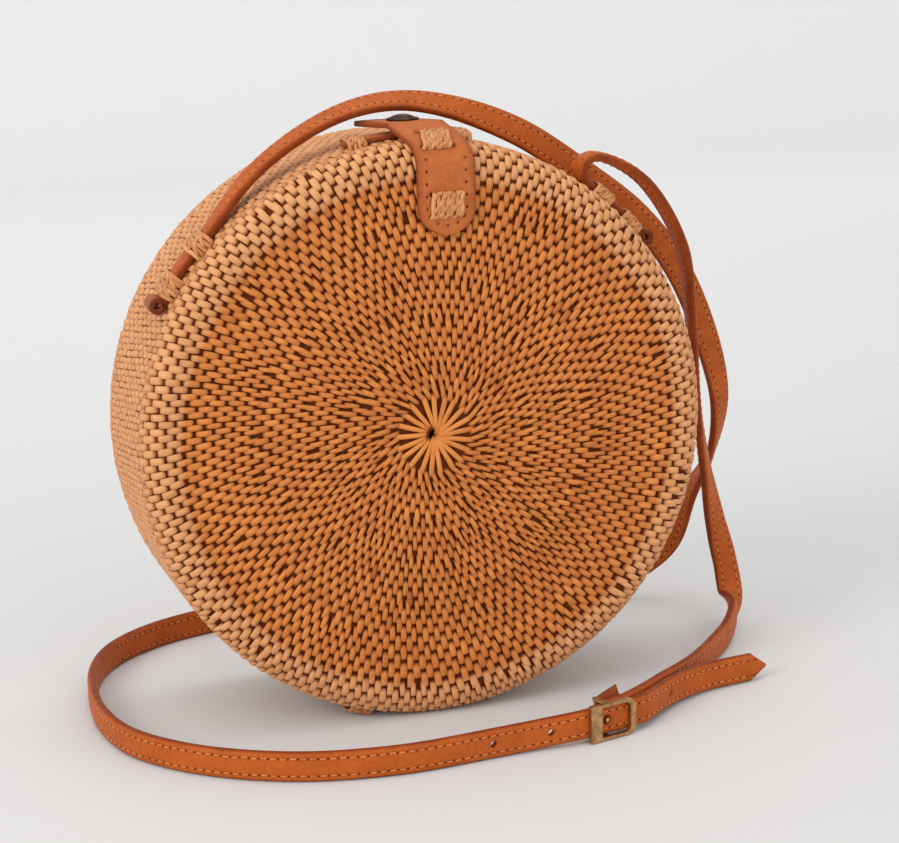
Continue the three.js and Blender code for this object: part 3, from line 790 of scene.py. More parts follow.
@dataclass(frozen=True)
class Outline:
    """Outline of a shell from the middle of its face over its rounded edge to its open side."""

    drum: DrumFrame
    face: float
    opening: float

    @property
    def inward(self) -> float:
        """Direction along Y from the face to the opening."""
        return math.copysign(1.0, self.opening - self.face)

    @property
    def length(self) -> float:
        """Length of the outline."""
        edge = self.drum.edge_radius
        return (self.drum.radius - edge + edge * math.pi / 2
                + abs(self.opening - self.face) - edge)

    def _parts(self, run: Array) -> tuple[Array, Array, Array]:
        """Radius, place along Y and turn of the outward direction at places along the outline."""
        edge = self.drum.edge_radius
        flat = self.drum.radius - edge
        turn = np.clip((run - flat) / edge, 0, math.pi / 2)
        radius = np.where(run < flat, run, flat + edge * np.sin(turn))
        straight = np.maximum(run - flat - edge * math.pi / 2, 0)
        depth = self.face + self.inward * (edge * (1 - np.cos(turn)) + straight)
        return radius, depth, turn

    def radius_at(self, run: Array) -> Array:
        """Distance from the axis at places along the outline."""
        return self._parts(np.asarray(run, dtype=float))[0]

    def place(self, run: Array, angle: Array, height: Array) -> Array:
        """Points at places along the outline, angles in radians and heights above it."""
        radius, depth, turn = self._parts(run)
        reach = radius + np.sin(turn) * height
        along_y = depth - self.inward * np.cos(turn) * height
        return np.stack([reach * np.sin(angle), along_y,
                         self.drum.radius + reach * np.cos(angle)], -1)

    def normal(self, run: Array, angle: Array) -> Array:
        """Outward directions at places along the outline."""
        turn = self._parts(run)[2]
        return np.stack([np.sin(turn) * np.sin(angle), -self.inward * np.cos(turn),
                         np.sin(turn) * np.cos(angle)], -1)


@dataclass(frozen=True)
class StripProfile:
    """How strips change from start to end, at knots from 0 to 1."""

    knots: Array
    lifts: Array
    # Painted shade at each knot, from 0 to 1.
    depth: Array
    swell: Array
    thick: Array


# depth is painted shade along each strip, darkest at the ends that tuck under their neighbours.
STITCH = StripProfile(
    knots=np.array([0.0, 0.09, 0.22, 0.5, 0.8, 0.93, 1.0]),
    lifts=np.array([-0.00115, -0.00048, -0.0001, 0.00012, -0.00002, -0.0003, -0.00095]),
    depth=np.array([0.95, 0.5, 0.12, 0.0, 0.06, 0.32, 0.9]),
    swell=np.array([0.9, 0.97, 1.0, 1.0, 1.0, 0.98, 0.92]),
    thick=np.array([0.6, 0.85, 1.0, 1.0, 1.0, 0.85, 0.6]),
)
SPOKE = StripProfile(
    knots=np.array([0.0, 0.1, 0.25, 0.55, 0.88, 1.0]),
    lifts=np.array([-0.0012, -0.0002, 0.0001, 0.0, -0.0002, -0.0009]),
    depth=np.array([0.7, 0.1, 0.0, 0.0, 0.15, 0.8]),
    swell=np.array([0.5, 0.66, 0.84, 0.95, 1.0, 0.9]),
    thick=np.ones(6),
)


@dataclass
class CoiledShell:
    """One woven shell: coils in rows, the stitches that bind them, a rosette and an edge."""

    name: str
    outline: Outline
    node: str
    body: Body
    swirl: int
    seed: int
    splits: list[float] = field(default_factory=list)
    coil_pitch: float = 0.00322
    stitch_pitch: float = 0.0047
    least_pitch: float = 0.003
    pitch_growth: float = 0.0016
    growth_radius: float = 0.092
    lean_outside: float = 8.0
    lean_middle: float = 11.0
    lean_fade: float = 0.012
    first_coil: float = 0.0165
    border: float = 0.0872
    border_blend: float = 0.0015
    # Strength of the painted shade along the crease where the face turns into the rim, and its width.
    crease: float = 0.4
    crease_width: float = 0.0008
    over: float = 0.0017
    tuck: float = 0.00095
    strip: float = 0.00066
    lift: float = -0.00045
    spokes: int = 21
    spoke_end: float = 0.0149
    spoke_width: float = 0.00094
    hole: tuple[float, float] = (0.0012, 0.0021)
    hole_offset: tuple[float, float] = (-0.0013, 0.0005)
    hole_turn: float = 20.0
    segments: int = 180
    turn_jitter: float = 0.00012
    width_share: float = 0.51
    half_widths: tuple[float, float] = (0.0006, 0.0014)
    lean_jitter: float = 0.035
    lift_jitter: float = 0.00006
    width_jitter: float = 0.05
    tone: float = 0.55
    length_tones: float = 0.1
    stitch_tones: float = 0.08
    stained_share: float = 0.006
    stained_tone: float = -0.35
    spoke_jitter: float = 0.03
    spoke_swing: float = 0.16
    spoke_tone: float = 0.85
    edge_half_width: float = 0.24
    edge_thick: float = 0.0004
    edge_length: float = 0.006
    core_sink: float = 0.00125
    core_wave: float = 0.00022
    inner_rise: float = 0.0003
    inner_wave: float = 0.00025

    def __post_init__(self) -> None:
        self.random = np.random.default_rng(self.seed)
        room = self.outline.length - self.over - self.first_coil
        self.rows = round(room / self.coil_pitch) + 1
        self.pitch = room / (self.rows - 1)

    def _pitch_at(self, radius: float) -> float:
        """Distance between stitches of one row, closer towards the middle."""
        return self.least_pitch + self.pitch_growth * min(radius / self.growth_radius, 1) ** 2

    def _lean(self, radius: Array) -> Array:
        """Tangent of the stitches' lean, strongest near the middle."""
        fade = np.exp(-(radius - self.first_coil) / self.lean_fade)
        return np.tan(np.radians(self.lean_outside + self.lean_middle * fade))

    def _rows_of_stitches(self) -> tuple[Array, Array, Array]:
        """Lays out the stitches, each between two of the row before.

        Returns:
            For every stitch, its coil's place along the outline, its angle and its half width.
        """
        count = round(2 * math.pi * self.first_coil / self._pitch_at(self.first_coil))
        angles = np.arange(count) * 2 * math.pi / count
        runs, turns, widths = [], [], []
        for row in range(self.rows):
            run = self.first_coil + row * self.pitch
            radius = float(self.outline.radius_at(run))
            gaps = np.diff(np.append(angles, angles[0] + 2 * math.pi))
            spacing = (gaps + np.roll(gaps, 1)) / 4 * radius
            runs.append(np.full(len(angles), run))
            turns.append(angles + self.random.normal(0, self.turn_jitter, len(angles)) / radius)
            widths.append(np.clip(spacing * self.width_share, *self.half_widths))
            ahead = float(self.outline.radius_at(run + self.pitch))
            wanted = round(2 * math.pi * ahead / self._pitch_at(ahead)) - len(angles)
            middles = angles + gaps / 2
            if wanted > 0:
                rank = gaps * self.random.uniform(0.8, 1.2, len(gaps))
                chosen = np.sort(np.argsort(rank)[-wanted:])
                middles[chosen] = angles[chosen] + gaps[chosen] * 0.3
                extra = angles[chosen] + gaps[chosen] * 0.7
                middles = np.sort(np.concatenate([middles, extra]))
            for _ in range(4):
                before = np.roll(middles, 1)
                before[0] -= 2 * math.pi
                after = np.roll(middles, -1)
                after[-1] += 2 * math.pi
                middles = 0.6 * middles + 0.2 * (before + after)
            angles = middles + self.swirl * self.pitch * float(self._lean(ahead)) / ahead
        return np.concatenate(runs), np.concatenate(turns), np.concatenate(widths)

    def _tones(self, count: int) -> Array:
        """Tone of each stitch: one for every length of cane, with small changes within it."""
        tones = []
        while sum(len(part) for part in tones) < count:
            length = int(self.random.integers(9, 34))
            tones.append(np.full(length, self.random.normal(self.tone, self.length_tones)))
        tone = np.concatenate(tones)[:count] + self.random.normal(0, self.stitch_tones, count)
        stained = self.random.random(count) < self.stained_share
        return np.where(stained, self.stained_tone, np.clip(tone, 0.05, 1.0))

    def _strips(self, runs: Array, angles: Array, lifts: Array, widths: Array, thick: Array,
                depth: Array, tones: Array, form: Form) -> None:
        """Adds strips that lie on the outline.

        Args:
            runs: Places along the outline, by strip and ring.
            angles: Angles around the axis, in radians.
            lifts: Heights of the strips' undersides.
            widths: Half widths.
            thick: Thicknesses.
            depth: How deep each ring lies, from 0 to 1, painted as shade.
            tones: Tone of each strip.
            form: The form that takes them.
        """
        centres = self.outline.place(runs, angles, lifts)
        seeds = self.random.random(len(runs))
        rim = np.clip((runs - self.border) / self.border_blend, 0, 1)
        add_strips(form, centres, self.outline.normal(runs, angles), widths, thick, runs, seeds,
                   tones, depth, STITCH_SHADE, rim)

    def weave(self) -> list[tuple[str, Form]]:
        """Stitches over all coils, in one form or more."""
        runs, turns, widths = self._rows_of_stitches()
        count = len(runs)
        start = runs - self.pitch - self.tuck
        span = self.over + self.pitch + self.tuck
        places = start[:, None] + span * STITCH.knots
        radius = self.outline.radius_at(places)
        lean = self._lean(self.outline.radius_at(runs))
        lean = lean + self.random.normal(0, self.lean_jitter, count)
        angles = turns[:, None] + self.swirl * (places - runs[:, None]) * lean[:, None] / radius
        height = self.lift + STITCH.lifts + self.random.normal(0, self.lift_jitter, count)[:, None]
        spread = self.random.normal(1, self.width_jitter, count)[:, None]
        width = widths[:, None] * STITCH.swell * spread
        thick = np.broadcast_to(self.strip * STITCH.thick, places.shape)
        tones = self._tones(count)
        # Painted shade along the crease at the border.
        crease = self.crease * np.exp(-((places - self.border) / self.crease_width) ** 2)
        depths = np.clip(STITCH.depth + crease, 0, 1)
        bounds = [0.0, *self.splits, math.inf]
        parts = []
        for index, (low, high) in enumerate(zip(bounds, bounds[1:])):
            keep = (runs >= low) & (runs < high)
            form = Form()
            self._strips(places[keep], angles[keep], height[keep], width[keep], thick[keep],
                         depths[keep], tones[keep], form)
            name = f"{self.name}_weave" if not self.splits else f"{self.name}_weave_{index + 1}"
            parts.append((name, form))
        return parts

    def rosette(self) -> Form:
        """Spokes of cane that start the coils, round a small slanted hole."""
        form = Form()
        count = self.spokes
        angles = np.arange(count) * 2 * math.pi / count
        angles = angles + self.random.normal(0, self.spoke_jitter, count)
        start = self._hole_reach(angles)
        runs = start[:, None] + (self.spoke_end - start)[:, None] * SPOKE.knots
        lifts = SPOKE.lifts + self.lift + self.random.normal(0, 0.00005, count)[:, None]
        swing = self.swirl * self.spoke_swing * (1 - SPOKE.knots) ** 3
        widths = np.broadcast_to(SPOKE.swell * self.spoke_width, runs.shape)
        thick = np.broadcast_to(self.strip * SPOKE.thick, runs.shape)
        depth = np.broadcast_to(SPOKE.depth, runs.shape)
        self._strips(runs, angles[:, None] - swing, lifts, widths, thick, depth,
                     self.random.normal(self.spoke_tone, self.length_tones, count), form)
        return form

    def _hole_reach(self, angles: Array) -> Array:
        """Distance from the axis to the far side of the slanted hole, at angles in radians."""
        turn = math.radians(self.hole_turn)
        rotation = np.array([[math.cos(turn), -math.sin(turn)], [math.sin(turn), math.cos(turn)]])
        rays = np.stack([np.sin(angles), np.cos(angles)], -1) @ rotation.T / self.hole
        centre = np.array(self.hole_offset) @ rotation.T / self.hole
        along, squared = (rays * centre).sum(1), (rays ** 2).sum(1)
        inside = np.maximum(along ** 2 - squared * ((centre ** 2).sum() - 1), 0)
        return np.clip((along + np.sqrt(inside)) / squared, 0.0003, 0.004)

    def edge(self) -> Form:
        """Cane wrapped over the shell's open edge, from the outside to the inside."""
        form = Form()
        radius = float(self.outline.radius_at(self.outline.length))
        count = round(2 * math.pi * radius / (self.stitch_pitch / 2))
        angles = np.arange(count) * 2 * math.pi / count + self.random.normal(0, 0.001, count)
        wall, end = self.outline.drum.wall, self.outline.length
        path = np.array([
            [-0.0026, -0.0014], [-0.0016, -0.00062], [-0.0007, -0.00072], [-0.00052, -0.0014],
            [-0.0007, 0.0006 - wall], [-0.002, 0.0005 - wall], [-0.003, 0.0011 - wall],
        ])
        runs = np.broadcast_to(end + path[:, 0], (count, len(path)))
        turned = angles[:, None] + self.swirl * path[:, 0] * 0.15 / radius
        centres = self.outline.place(runs, turned, np.broadcast_to(path[:, 1], runs.shape))
        along = unit(np.gradient(centres, axis=1))
        sides = np.stack([np.cos(turned), np.zeros_like(turned), -np.sin(turned)], -1)
        ups = unit(np.cross(sides, along))
        if ups[0, 3, 1] * self.outline.inward < 0:
            ups = -ups
        seeds = self.random.random(count)
        # Painted shade at both ends of each wrap, where it goes under the edge.
        depth = np.array([0.9, 0.2, 0.1, 0.1, 0.1, 0.2, 0.9])
        add_strips(form, centres, ups,
                   np.full(runs.shape, self.stitch_pitch * self.edge_half_width),
                   np.full(runs.shape, self.edge_thick), np.linspace(0, self.edge_length, len(path)),
                   seeds, self._tones(count), depth, np.zeros(len(STRIP_SECTION)), np.ones(1), sides)
        return form

    def core(self) -> Form:
        """The coils under the stitches, as one closed wall with its ridges inside and out."""
        wall, end = self.outline.drum.wall, self.outline.length - 0.0006
        steps = 2 * round((end - self.hole[1]) / self.pitch)
        outer = np.linspace(self.hole[1] * 0.8, end, steps + 1)
        wave = np.cos(2 * math.pi * (outer - self.first_coil) / self.pitch)
        inner = -wall + self.inner_rise - self.inner_wave * wave
        heights = np.concatenate([self.core_wave * wave - self.core_sink, inner[::-1]])
        runs = np.concatenate([outer, outer[::-1]])
        turn = np.arange(self.segments) * 2 * math.pi / self.segments
        run_grid, turn_grid = np.meshgrid(runs, turn)
        shape = run_grid.shape
        inside = np.broadcast_to(np.repeat([0.0, 1.0], len(outer)), shape)
        points = self.outline.place(run_grid, turn_grid, np.broadcast_to(heights, shape))
        index = np.arange(points.size // 3).reshape(shape)
        ahead = np.roll(index, -1, axis=0)
        quads = np.stack([index, np.roll(index, -1, axis=1), np.roll(ahead, -1, axis=1), ahead], -1)
        radius = self.outline.radius_at(run_grid)
        sine, cosine = np.sin(turn_grid), np.cos(turn_grid)
        form = Form()
        # Outside, where the core shows only between the stitches, it takes mostly the gap colour: partly
        # the core's own darker cane and partly painted shade.
        form.add(points, [quads.reshape(-1, 4)],
                 fibre=np.stack([run_grid, sine * radius, cosine * radius], -1),
                 coil=(run_grid - self.first_coil) / self.pitch + 0.5,
                 sine=sine, cosine=cosine, stitches=radius / self.stitch_pitch, inside=inside,
                 tone=np.full(shape, 0.5), depth=np.where(inside > 0, 0.1, 0.8))
        return form

    def build(self, finishes: "Wardrobe") -> None:
        """Makes the shell's pieces and puts them on its body."""
        core = self.core().build(f"{self.name}_core", finishes.core)
        settle(core, self.body, self.node)
        woven = self.weave()
        woven.append((f"{self.name}_rosette", self.rosette()))
        woven.append((f"{self.name}_edge", self.edge()))
        for name, form in woven:
            settle(form.build(name, finishes.cane), self.body)


@dataclass(frozen=True)
class ArchPoint:
    """Row of a strap's course by its angle around the drum.

    lift is a share of the drum's radius, depth a share of its depth, and lean is 0 where the
    strap lies flat on the rim and 90 where it stands up.
    """

    angle: float
    lift: float
    depth: float
    lean: float


@dataclass(frozen=True)
class FloorPoint:
    """Row of a strap's course on the surface: shares of the radius and depth, and its rise."""

    across: float
    back: float
    rise: float


LONG_ARCH = [ArchPoint(*row) for row in (
    (-39.9, 0.03, -0.25, 3), (-31.2, 0.06, -0.222, 7), (-19.8, 0.09, -0.187, 11),
    (-9.7, 0.111, -0.139, 18), (-0.3, 0.114, -0.083, 28), (9.6, 0.099, -0.042, 45),
    (25, 0.08, 0.035, 76), (40.4, 0.083, 0.118, 90), (56.9, 0.152, 0.208, 90),
    (70.8, 0.227, 0.306, 88), (86.4, 0.322, 0.417, 78), (96.2, 0.396, 0.5, 55),
    (104.9, 0.432, 0.611, 25), (112.2, 0.433, 0.722, -5), (121.9, 0.478, 0.86, -45),
)]
LONG_FLOOR = [FloorPoint(*row) for row in (
    (1.02, 1.04, 0.6), (0.7, 1.22, 0), (0.35, 1.33, 0), (-0.05, 1.36, 0), (-0.53, 1.28, 0),
    (-0.81, 1.11, 0), (-1, 0.85, 0), (-1.1, 0.54, 0), (-1.14, 0.22, 0), (-1.145, -0.14, 0),
    (-1.085, -0.5, 0), (-0.9, -0.84, 0), (-0.62, -1.08, 0), (-0.3, -1.165, 0),
    (0.04, -1.125, 0.1), (0.19, -1.11, 0.4),
)]
LONG_TAIL = [FloorPoint(*row) for row in (
    (0.68, -0.905, 0.9), (0.79, -0.774, 0.6), (0.94, -0.658, 0.3), (1.07, -0.612, 0.15),
    (1.14, -0.589, 0),
)]
SHORT_LOOP = [ArchPoint(*row) for row in (
    (36.4, 0.032, -0.253, 0), (35.2, 0.066, -0.253, 0), (36.2, 0.108, -0.25, 0),
    (39.8, 0.141, -0.245, 0), (47.8, 0.172, -0.21, 0), (61.8, 0.167, -0.13, 5),
    (75.5, 0.135, -0.02, 12), (93.7, 0.175, 0.139, 20), (106.7, 0.298, 0.236, 38),
    (114.4, 0.438, 0.319, 64), (119.3, 0.558, 0.347, 88), (122.5, 0.612, 0.29, 112),
)]
SHORT_FLOOR = [FloorPoint(*row) for row in (
    (1.32, 0.14, 2.4), (1.235, -0.04, 0.5), (1.1, -0.26, 0), (0.965, -0.47, 0.2),
    (0.85, -0.62, 0.5), (0.755, -0.725, 0.7), (0.655, -0.845, 0.9),
)]


@dataclass(frozen=True)
class StrapSizes:
    """Sizes that both straps share, with the ties that hold them to the rim."""

    width: float = 0.010
    thickness: float = 0.003
    fit: float = 0.0003
    step: float = 0.0025
    corner: float = 0.0012
    crown: float = 0.0002
    tie_line: float = -0.0187
    end_reach: float = 4.4
    tie_lead: float = 3.0
    loop_hole: float = 0.0011
    loop_leather: float = 0.0018
    left_lower: float = -56.7
    left_upper: float = -47.4
    right_upper: float = 41.6
    right_lower: float = 49.7


@dataclass(frozen=True)
class BuckleSizes:
    """The buckle's sizes and its place on the long strap."""

    across: float = 0.45
    back: float = -1.0625
    heading: float = 16.0
    length: float = 0.019
    height: float = 0.013
    rail: float = 0.0012
    left_bar: float = 0.0046
    right_bar: float = 0.0022
    plate: float = 0.0018
    corner: float = 0.0036
    bar: float = 0.0009
    bar_offset: float = -0.0015
    fold_leather: float = 0.0012
    prong: float = 0.0009


@dataclass
class BucklePlace:
    """Directions and places about the buckle: along the strap, up and out to the front."""

    drum: DrumFrame
    strap: StrapSizes
    sizes: BuckleSizes

    def __post_init__(self) -> None:
        turn = math.radians(self.sizes.heading)
        depth = self.drum.back - self.drum.front
        self.along = np.array([math.cos(turn), math.sin(turn), 0.0])
        self.up = np.array([0.0, 0.0, 1.0])
        self.out = np.cross(self.along, self.up)
        self.centre = np.array([self.sizes.across * self.drum.radius, self.sizes.back * depth,
                                self.sizes.height / 2])
        self.fold = self.sizes.bar + self.strap.fit + self.sizes.fold_leather
        self.front = self.strap.thickness / 2 + self.strap.fit
        self.bar_depth = -(self.strap.thickness / 2 + self.strap.fit + self.fold)

    def at(self, along: float, up: float, out: float) -> Array:
        """Point at a place along the strap, up and out from the buckle's centre."""
        return self.centre + self.along * along + self.up * up + self.out * out


@dataclass(frozen=True)
class Stations:
    """Rings along a strap: centres, directions, and the distance from its start."""

    centre: Array
    along: Array
    wide: Array
    face: Array
    run: Array

    def at(self, distance: Array) -> "Stations":
        """Rings at distances from the start."""
        def blend(values: Array) -> Array:
            """Values at the distances."""
            return np.stack([np.interp(distance, self.run, values[:, i]) for i in range(3)], -1)

        return Stations(blend(self.centre), unit(blend(self.along)), unit(blend(self.wide)),
                        unit(blend(self.face)), np.asarray(distance))


@dataclass
class StrapRoute:
    """Turns rows of a course into rings of a strap."""

    drum: DrumFrame
    sizes: StrapSizes
    buckle: BucklePlace

    def seated(self, angle: float) -> tuple[Array, Array]:
        """Row that lies flat on the rim at an angle."""
        seat = self.sizes.fit + self.sizes.thickness / 2
        return self.drum.rim_point(angle, seat, self.sizes.tie_line), BACKWARD

    def seats(self, end: float, lower: float, upper: float,
              lead: float) -> list[tuple[Array, Array]]:
        """Rows under both ties: from the strap's end past them to where it starts to rise."""
        return [self.seated(angle) for angle in (end, lower, (lower + upper) / 2, upper, lead)]

    def arch(self, row: ArchPoint) -> tuple[Array, Array]:
        """Row in the air around the drum."""
        depth = row.depth * (self.drum.back - self.drum.front)
        lean = math.radians(row.lean)
        wide = BACKWARD * math.cos(lean) + self.drum.outward(row.angle) * math.sin(lean)
        return self.drum.rim_point(row.angle, row.lift * self.drum.radius, depth), wide

    def floor(self, row: FloorPoint, up: int) -> tuple[Array, Array]:
        """Row that stands on its edge on the surface."""
        spare = (self.buckle.sizes.height - self.sizes.width) / 2
        point = np.array([row.across * self.drum.radius,
                          row.back * (self.drum.back - self.drum.front),
                          self.sizes.width / 2 + row.rise * spare])
        return point, np.array([0.0, 0.0, float(up)])

    def past_buckle(self, along: float, out: float, up: int) -> tuple[Array, Array]:
        """Row that runs straight past the buckle."""
        return self.buckle.at(along, 0, out), np.array([0.0, 0.0, float(up)])

    def stations(self, rows: list[tuple[Array, Array]]) -> Stations:
        """Rings along a smooth course through rows.

        Args:
            rows: Point and width direction of each row.

        Returns:
            The rings, no lower than the surface.
        """
        points = np.array([row[0] for row in rows])
        course, widths = Course(points * 1000), Course([row[1] for row in rows])
        shares = []
        for i in range(len(rows) - 1):
            steps = max(1, round(float(np.linalg.norm(points[i + 1] - points[i])) / self.sizes.step))
            shares.extend((i + k / steps) / (len(rows) - 1) for k in range(steps))
        shares = np.array(shares + [1.0])
        small = 1e-4
        along = unit(course.at(shares + small) - course.at(shares - small))
        wide = widths.at(shares)
        wide = unit(wide - along * (wide * along).sum(1, keepdims=True))
        face = np.cross(wide, along)
        centre = course.at(shares) / 1000
        reach = (np.abs(wide[:, 2]) * self.sizes.width + np.abs(face[:, 2]) * self.sizes.thickness) / 2
        centre[:, 2] = np.maximum(centre[:, 2], reach)
        return Stations(centre, along, wide, face, distances(centre))


BURNISHED = 0.14


def leather_values(run: Array, section: Array, widths: Array, half_width: float) -> dict[str, Array]:
    """Point values of a leather band.

    Args:
        run: Distance of each ring along the band.
        section: Its section, across and through.
        widths: Scale of the section at each ring.
        half_width: Half the band's full width, where its edges are burnished.

    Returns:
        hide, the place along, across and through, and rubbed, 1 at the burnished edges.
    """
    across = widths[:, None] * section[:, 0]
    hide = np.stack([np.broadcast_to(run[:, None], across.shape), across,
                     np.broadcast_to(section[:, 1], across.shape)], -1)
    limit = np.maximum(widths[:, None] * half_width, 1e-6)
    rubbed = np.clip((np.abs(across) / limit - (1 - BURNISHED)) / BURNISHED, 0, 1)
    return {"hide": hide, "rubbed": rubbed}


def band_form(rings: Stations, section: Array, widths: Array | None = None) -> Form:
    """Leather band swept along rings.

    Args:
        rings: The rings.
        section: The band's outline.
        widths: Scale of the section's width at each ring.

    Returns:
        The closed band.
    """
    scale = np.ones(len(rings.run)) if widths is None else widths
    points, faces = sweep(rings.centre[None], rings.wide[None], rings.face[None], scale[None],
                          np.ones((1, len(scale))), section)
    form = Form()
    half_width = float(np.abs(section[:, 0]).max())
    form.add(points, faces, **leather_values(rings.run, section, scale, half_width))
    return form


def cut(piece: Piece, cutter_form: Form, material: bpy.types.Material) -> None:
    """Cuts a form out of a piece for good.

    Args:
        piece: The piece.
        cutter_form: What is cut out.
        material: Finish of the cut's walls.
    """
    cutter = cutter_form.build(piece.name + "_cutter", material, smooth=False)
    modifier = piece.modifiers.new("holes", "BOOLEAN")
    modifier.operation = "DIFFERENCE"
    modifier.solver = "EXACT"
    modifier.use_self = True
    modifier.object = cutter
    graph = bpy.context.evaluated_depsgraph_get()
    mesh = bpy.data.meshes.new_from_object(piece.evaluated_get(graph))
    piece.modifiers.clear()
    piece.data = mesh
    bpy.data.objects.remove(cutter)


def round_cutter(centre: Array, axis: Array, radius: float, length: float, form: Form,
                 sides: int = 14) -> None:
    """Adds a round peg to a cutter's form.

    Args:
        centre: Middle of the peg.
        axis: Its direction.
        radius: Its radius.
        length: Its length.
        form: The form that takes it.
        sides: Sides of the peg.
    """
    axis = unit(axis)
    side = square_to(axis)
    angle = np.arange(sides) * 2 * math.pi / sides
    section = np.stack([np.cos(angle), np.sin(angle)], -1) * radius
    centres = np.stack([centre - axis * length / 2, centre + axis * length / 2])[None]
    one = np.ones((1, 2))
    points, faces = sweep(centres, np.broadcast_to(side, (1, 2, 3)),
                          np.broadcast_to(np.cross(axis, side), (1, 2, 3)), one, one, section)
    # The peg's walls become the hole's walls, painted fully dark as shade inside the hole.
    form.add(points, faces, hide=np.zeros(points.shape), rubbed=np.full(points.shape[:3], 1.5))


@dataclass
class Strap:
    """Leather strap of doubled leather with two rows of stitching and a folded end."""

    name: str
    node: str
    rings: Stations
    sizes: StrapSizes
    loop_centre: Array
    tip: float = 0.0
    tip_width: float = 0.15
    tip_steps: int = 5
    pitch: float = STRAP_LEATHER.pitch
    row: float = STRAP_LEATHER.row
    thread: float = 0.0003
    thread_height: float = 0.00022
    thread_share: float = 0.7
    thread_jitter: float = 0.00006
    thread_slant: float = 0.00008
    thread_sink: float = 0.0002
    thread_rise: float = 0.00004
    seed: int = 3

    def section(self) -> Array:
        """Outline of the strap."""
        half, thick = self.sizes.width / 2, self.sizes.thickness / 2
        return rounded_section(half, thick, self.sizes.corner, 3, self.sizes.crown, 6)

    def body(self) -> Form:
        """The strap itself, pointed at its tip where it has one."""
        rings, widths = self.rings, np.ones(len(self.rings.run))
        if self.tip:
            steps = self.tip_steps
            shares = np.arange(1, steps + 1) / steps
            centre = rings.centre[-1] + rings.along[-1] * (self.tip * shares)[:, None]
            rings = Stations(
                np.concatenate([rings.centre, centre]),
                *(np.concatenate([part, np.repeat(part[-1:], steps, axis=0)])
                  for part in (rings.along, rings.wide, rings.face)),
                np.concatenate([rings.run, rings.run[-1] + self.tip * shares]),
            )
            widths = np.concatenate([widths, 1 - (1 - self.tip_width) * shares])
        return band_form(rings, self.section(), widths)

    def loop(self) -> Form:
        """Leather folded back into a round loop at the strap's end on the rim."""
        steps = 22
        angle = np.arange(steps) * 2 * math.pi / steps
        along, wide = self.rings.along[0], self.rings.wide[0]
        up = np.cross(wide, along)
        middle = self.sizes.loop_hole + self.sizes.loop_leather / 2
        outward = np.cos(angle)[:, None] * along + np.sin(angle)[:, None] * up
        centres = self.loop_centre + outward * middle
        section = rounded_section(self.sizes.width / 2, self.sizes.loop_leather / 2, 0.0006, 3,
                                  0.0001, 4)
        ones = np.ones((1, steps))
        points, faces = sweep(centres[None], np.broadcast_to(wide, (1, steps, 3)), outward[None],
                              ones, ones, section, closed=True)
        values = leather_values(angle * middle, section, ones[0], self.sizes.width / 2)
        form = Form()
        form.add(points, faces, **values)
        return form

    def stitching(self) -> Form:
        """Thread stitches in two rows on both faces."""
        random = np.random.default_rng(self.seed)
        end = self.rings.run[-1] - 0.001
        middles = np.arange(self.pitch, end, self.pitch)
        form = Form()
        knots = np.array([-0.5, -0.3, 0.3, 0.5])
        for side in (-1, 1):
            for face in (-1, 1):
                runs = middles[:, None] + knots * self.pitch * self.thread_share
                rings = self.rings.at(runs.ravel())
                jitter = random.normal(0, self.thread_jitter, len(middles))[:, None, None]
                slant = self.thread_slant * knots[None, :, None]
                across = (side * (self.row + jitter) + slant) * np.ones((len(middles), 4, 1))
                shape = (len(middles), 4, 3)
                wide, ups = rings.wide.reshape(shape), rings.face.reshape(shape) * face
                ends, rise = -self.thread_sink, self.thread_rise
                height = self.sizes.thickness / 2 + np.array([ends, rise, rise, ends])
                centres = rings.centre.reshape(shape) + wide * across + ups * height[:, None]
                widths = np.full(shape[:2], self.thread)
                points, faces = sweep(centres, wide, ups, widths,
                                      np.full(shape[:2], self.thread_height), THREAD_SECTION)
                grid = points.shape[:3]
                tones = random.normal(0.6, 0.18, len(middles))[:, None, None]
                fibre = np.stack([np.broadcast_to(runs[..., None], grid) * 0.4,
                                  np.broadcast_to(THREAD_SECTION[:, 0] * 0.001, grid),
                                  np.broadcast_to(tones, grid)], -1)
                form.add(points, faces, fibre=fibre, tone=np.broadcast_to(tones, grid),
                         depth=np.zeros(grid))
        return form

    def build(self, finishes: "Wardrobe", holes: Form | None = None) -> None:
        """Makes the strap's pieces and puts them on the drum's body."""
        log.info("%s: %.1f mm long", self.name, 1000 * (self.rings.run[-1] + self.tip))
        body = self.body().build(self.name, finishes.strap)
        if holes is not None:
            cut(body, holes, finishes.strap)
        settle(body, Body.DRUM, self.node)
        loop = self.loop().build(self.name + "_loop", finishes.loop)
        thread = self.stitching().build(self.name + "_thread", finishes.thread)
        for piece in (loop, thread):
            settle(piece, Body.DRUM)


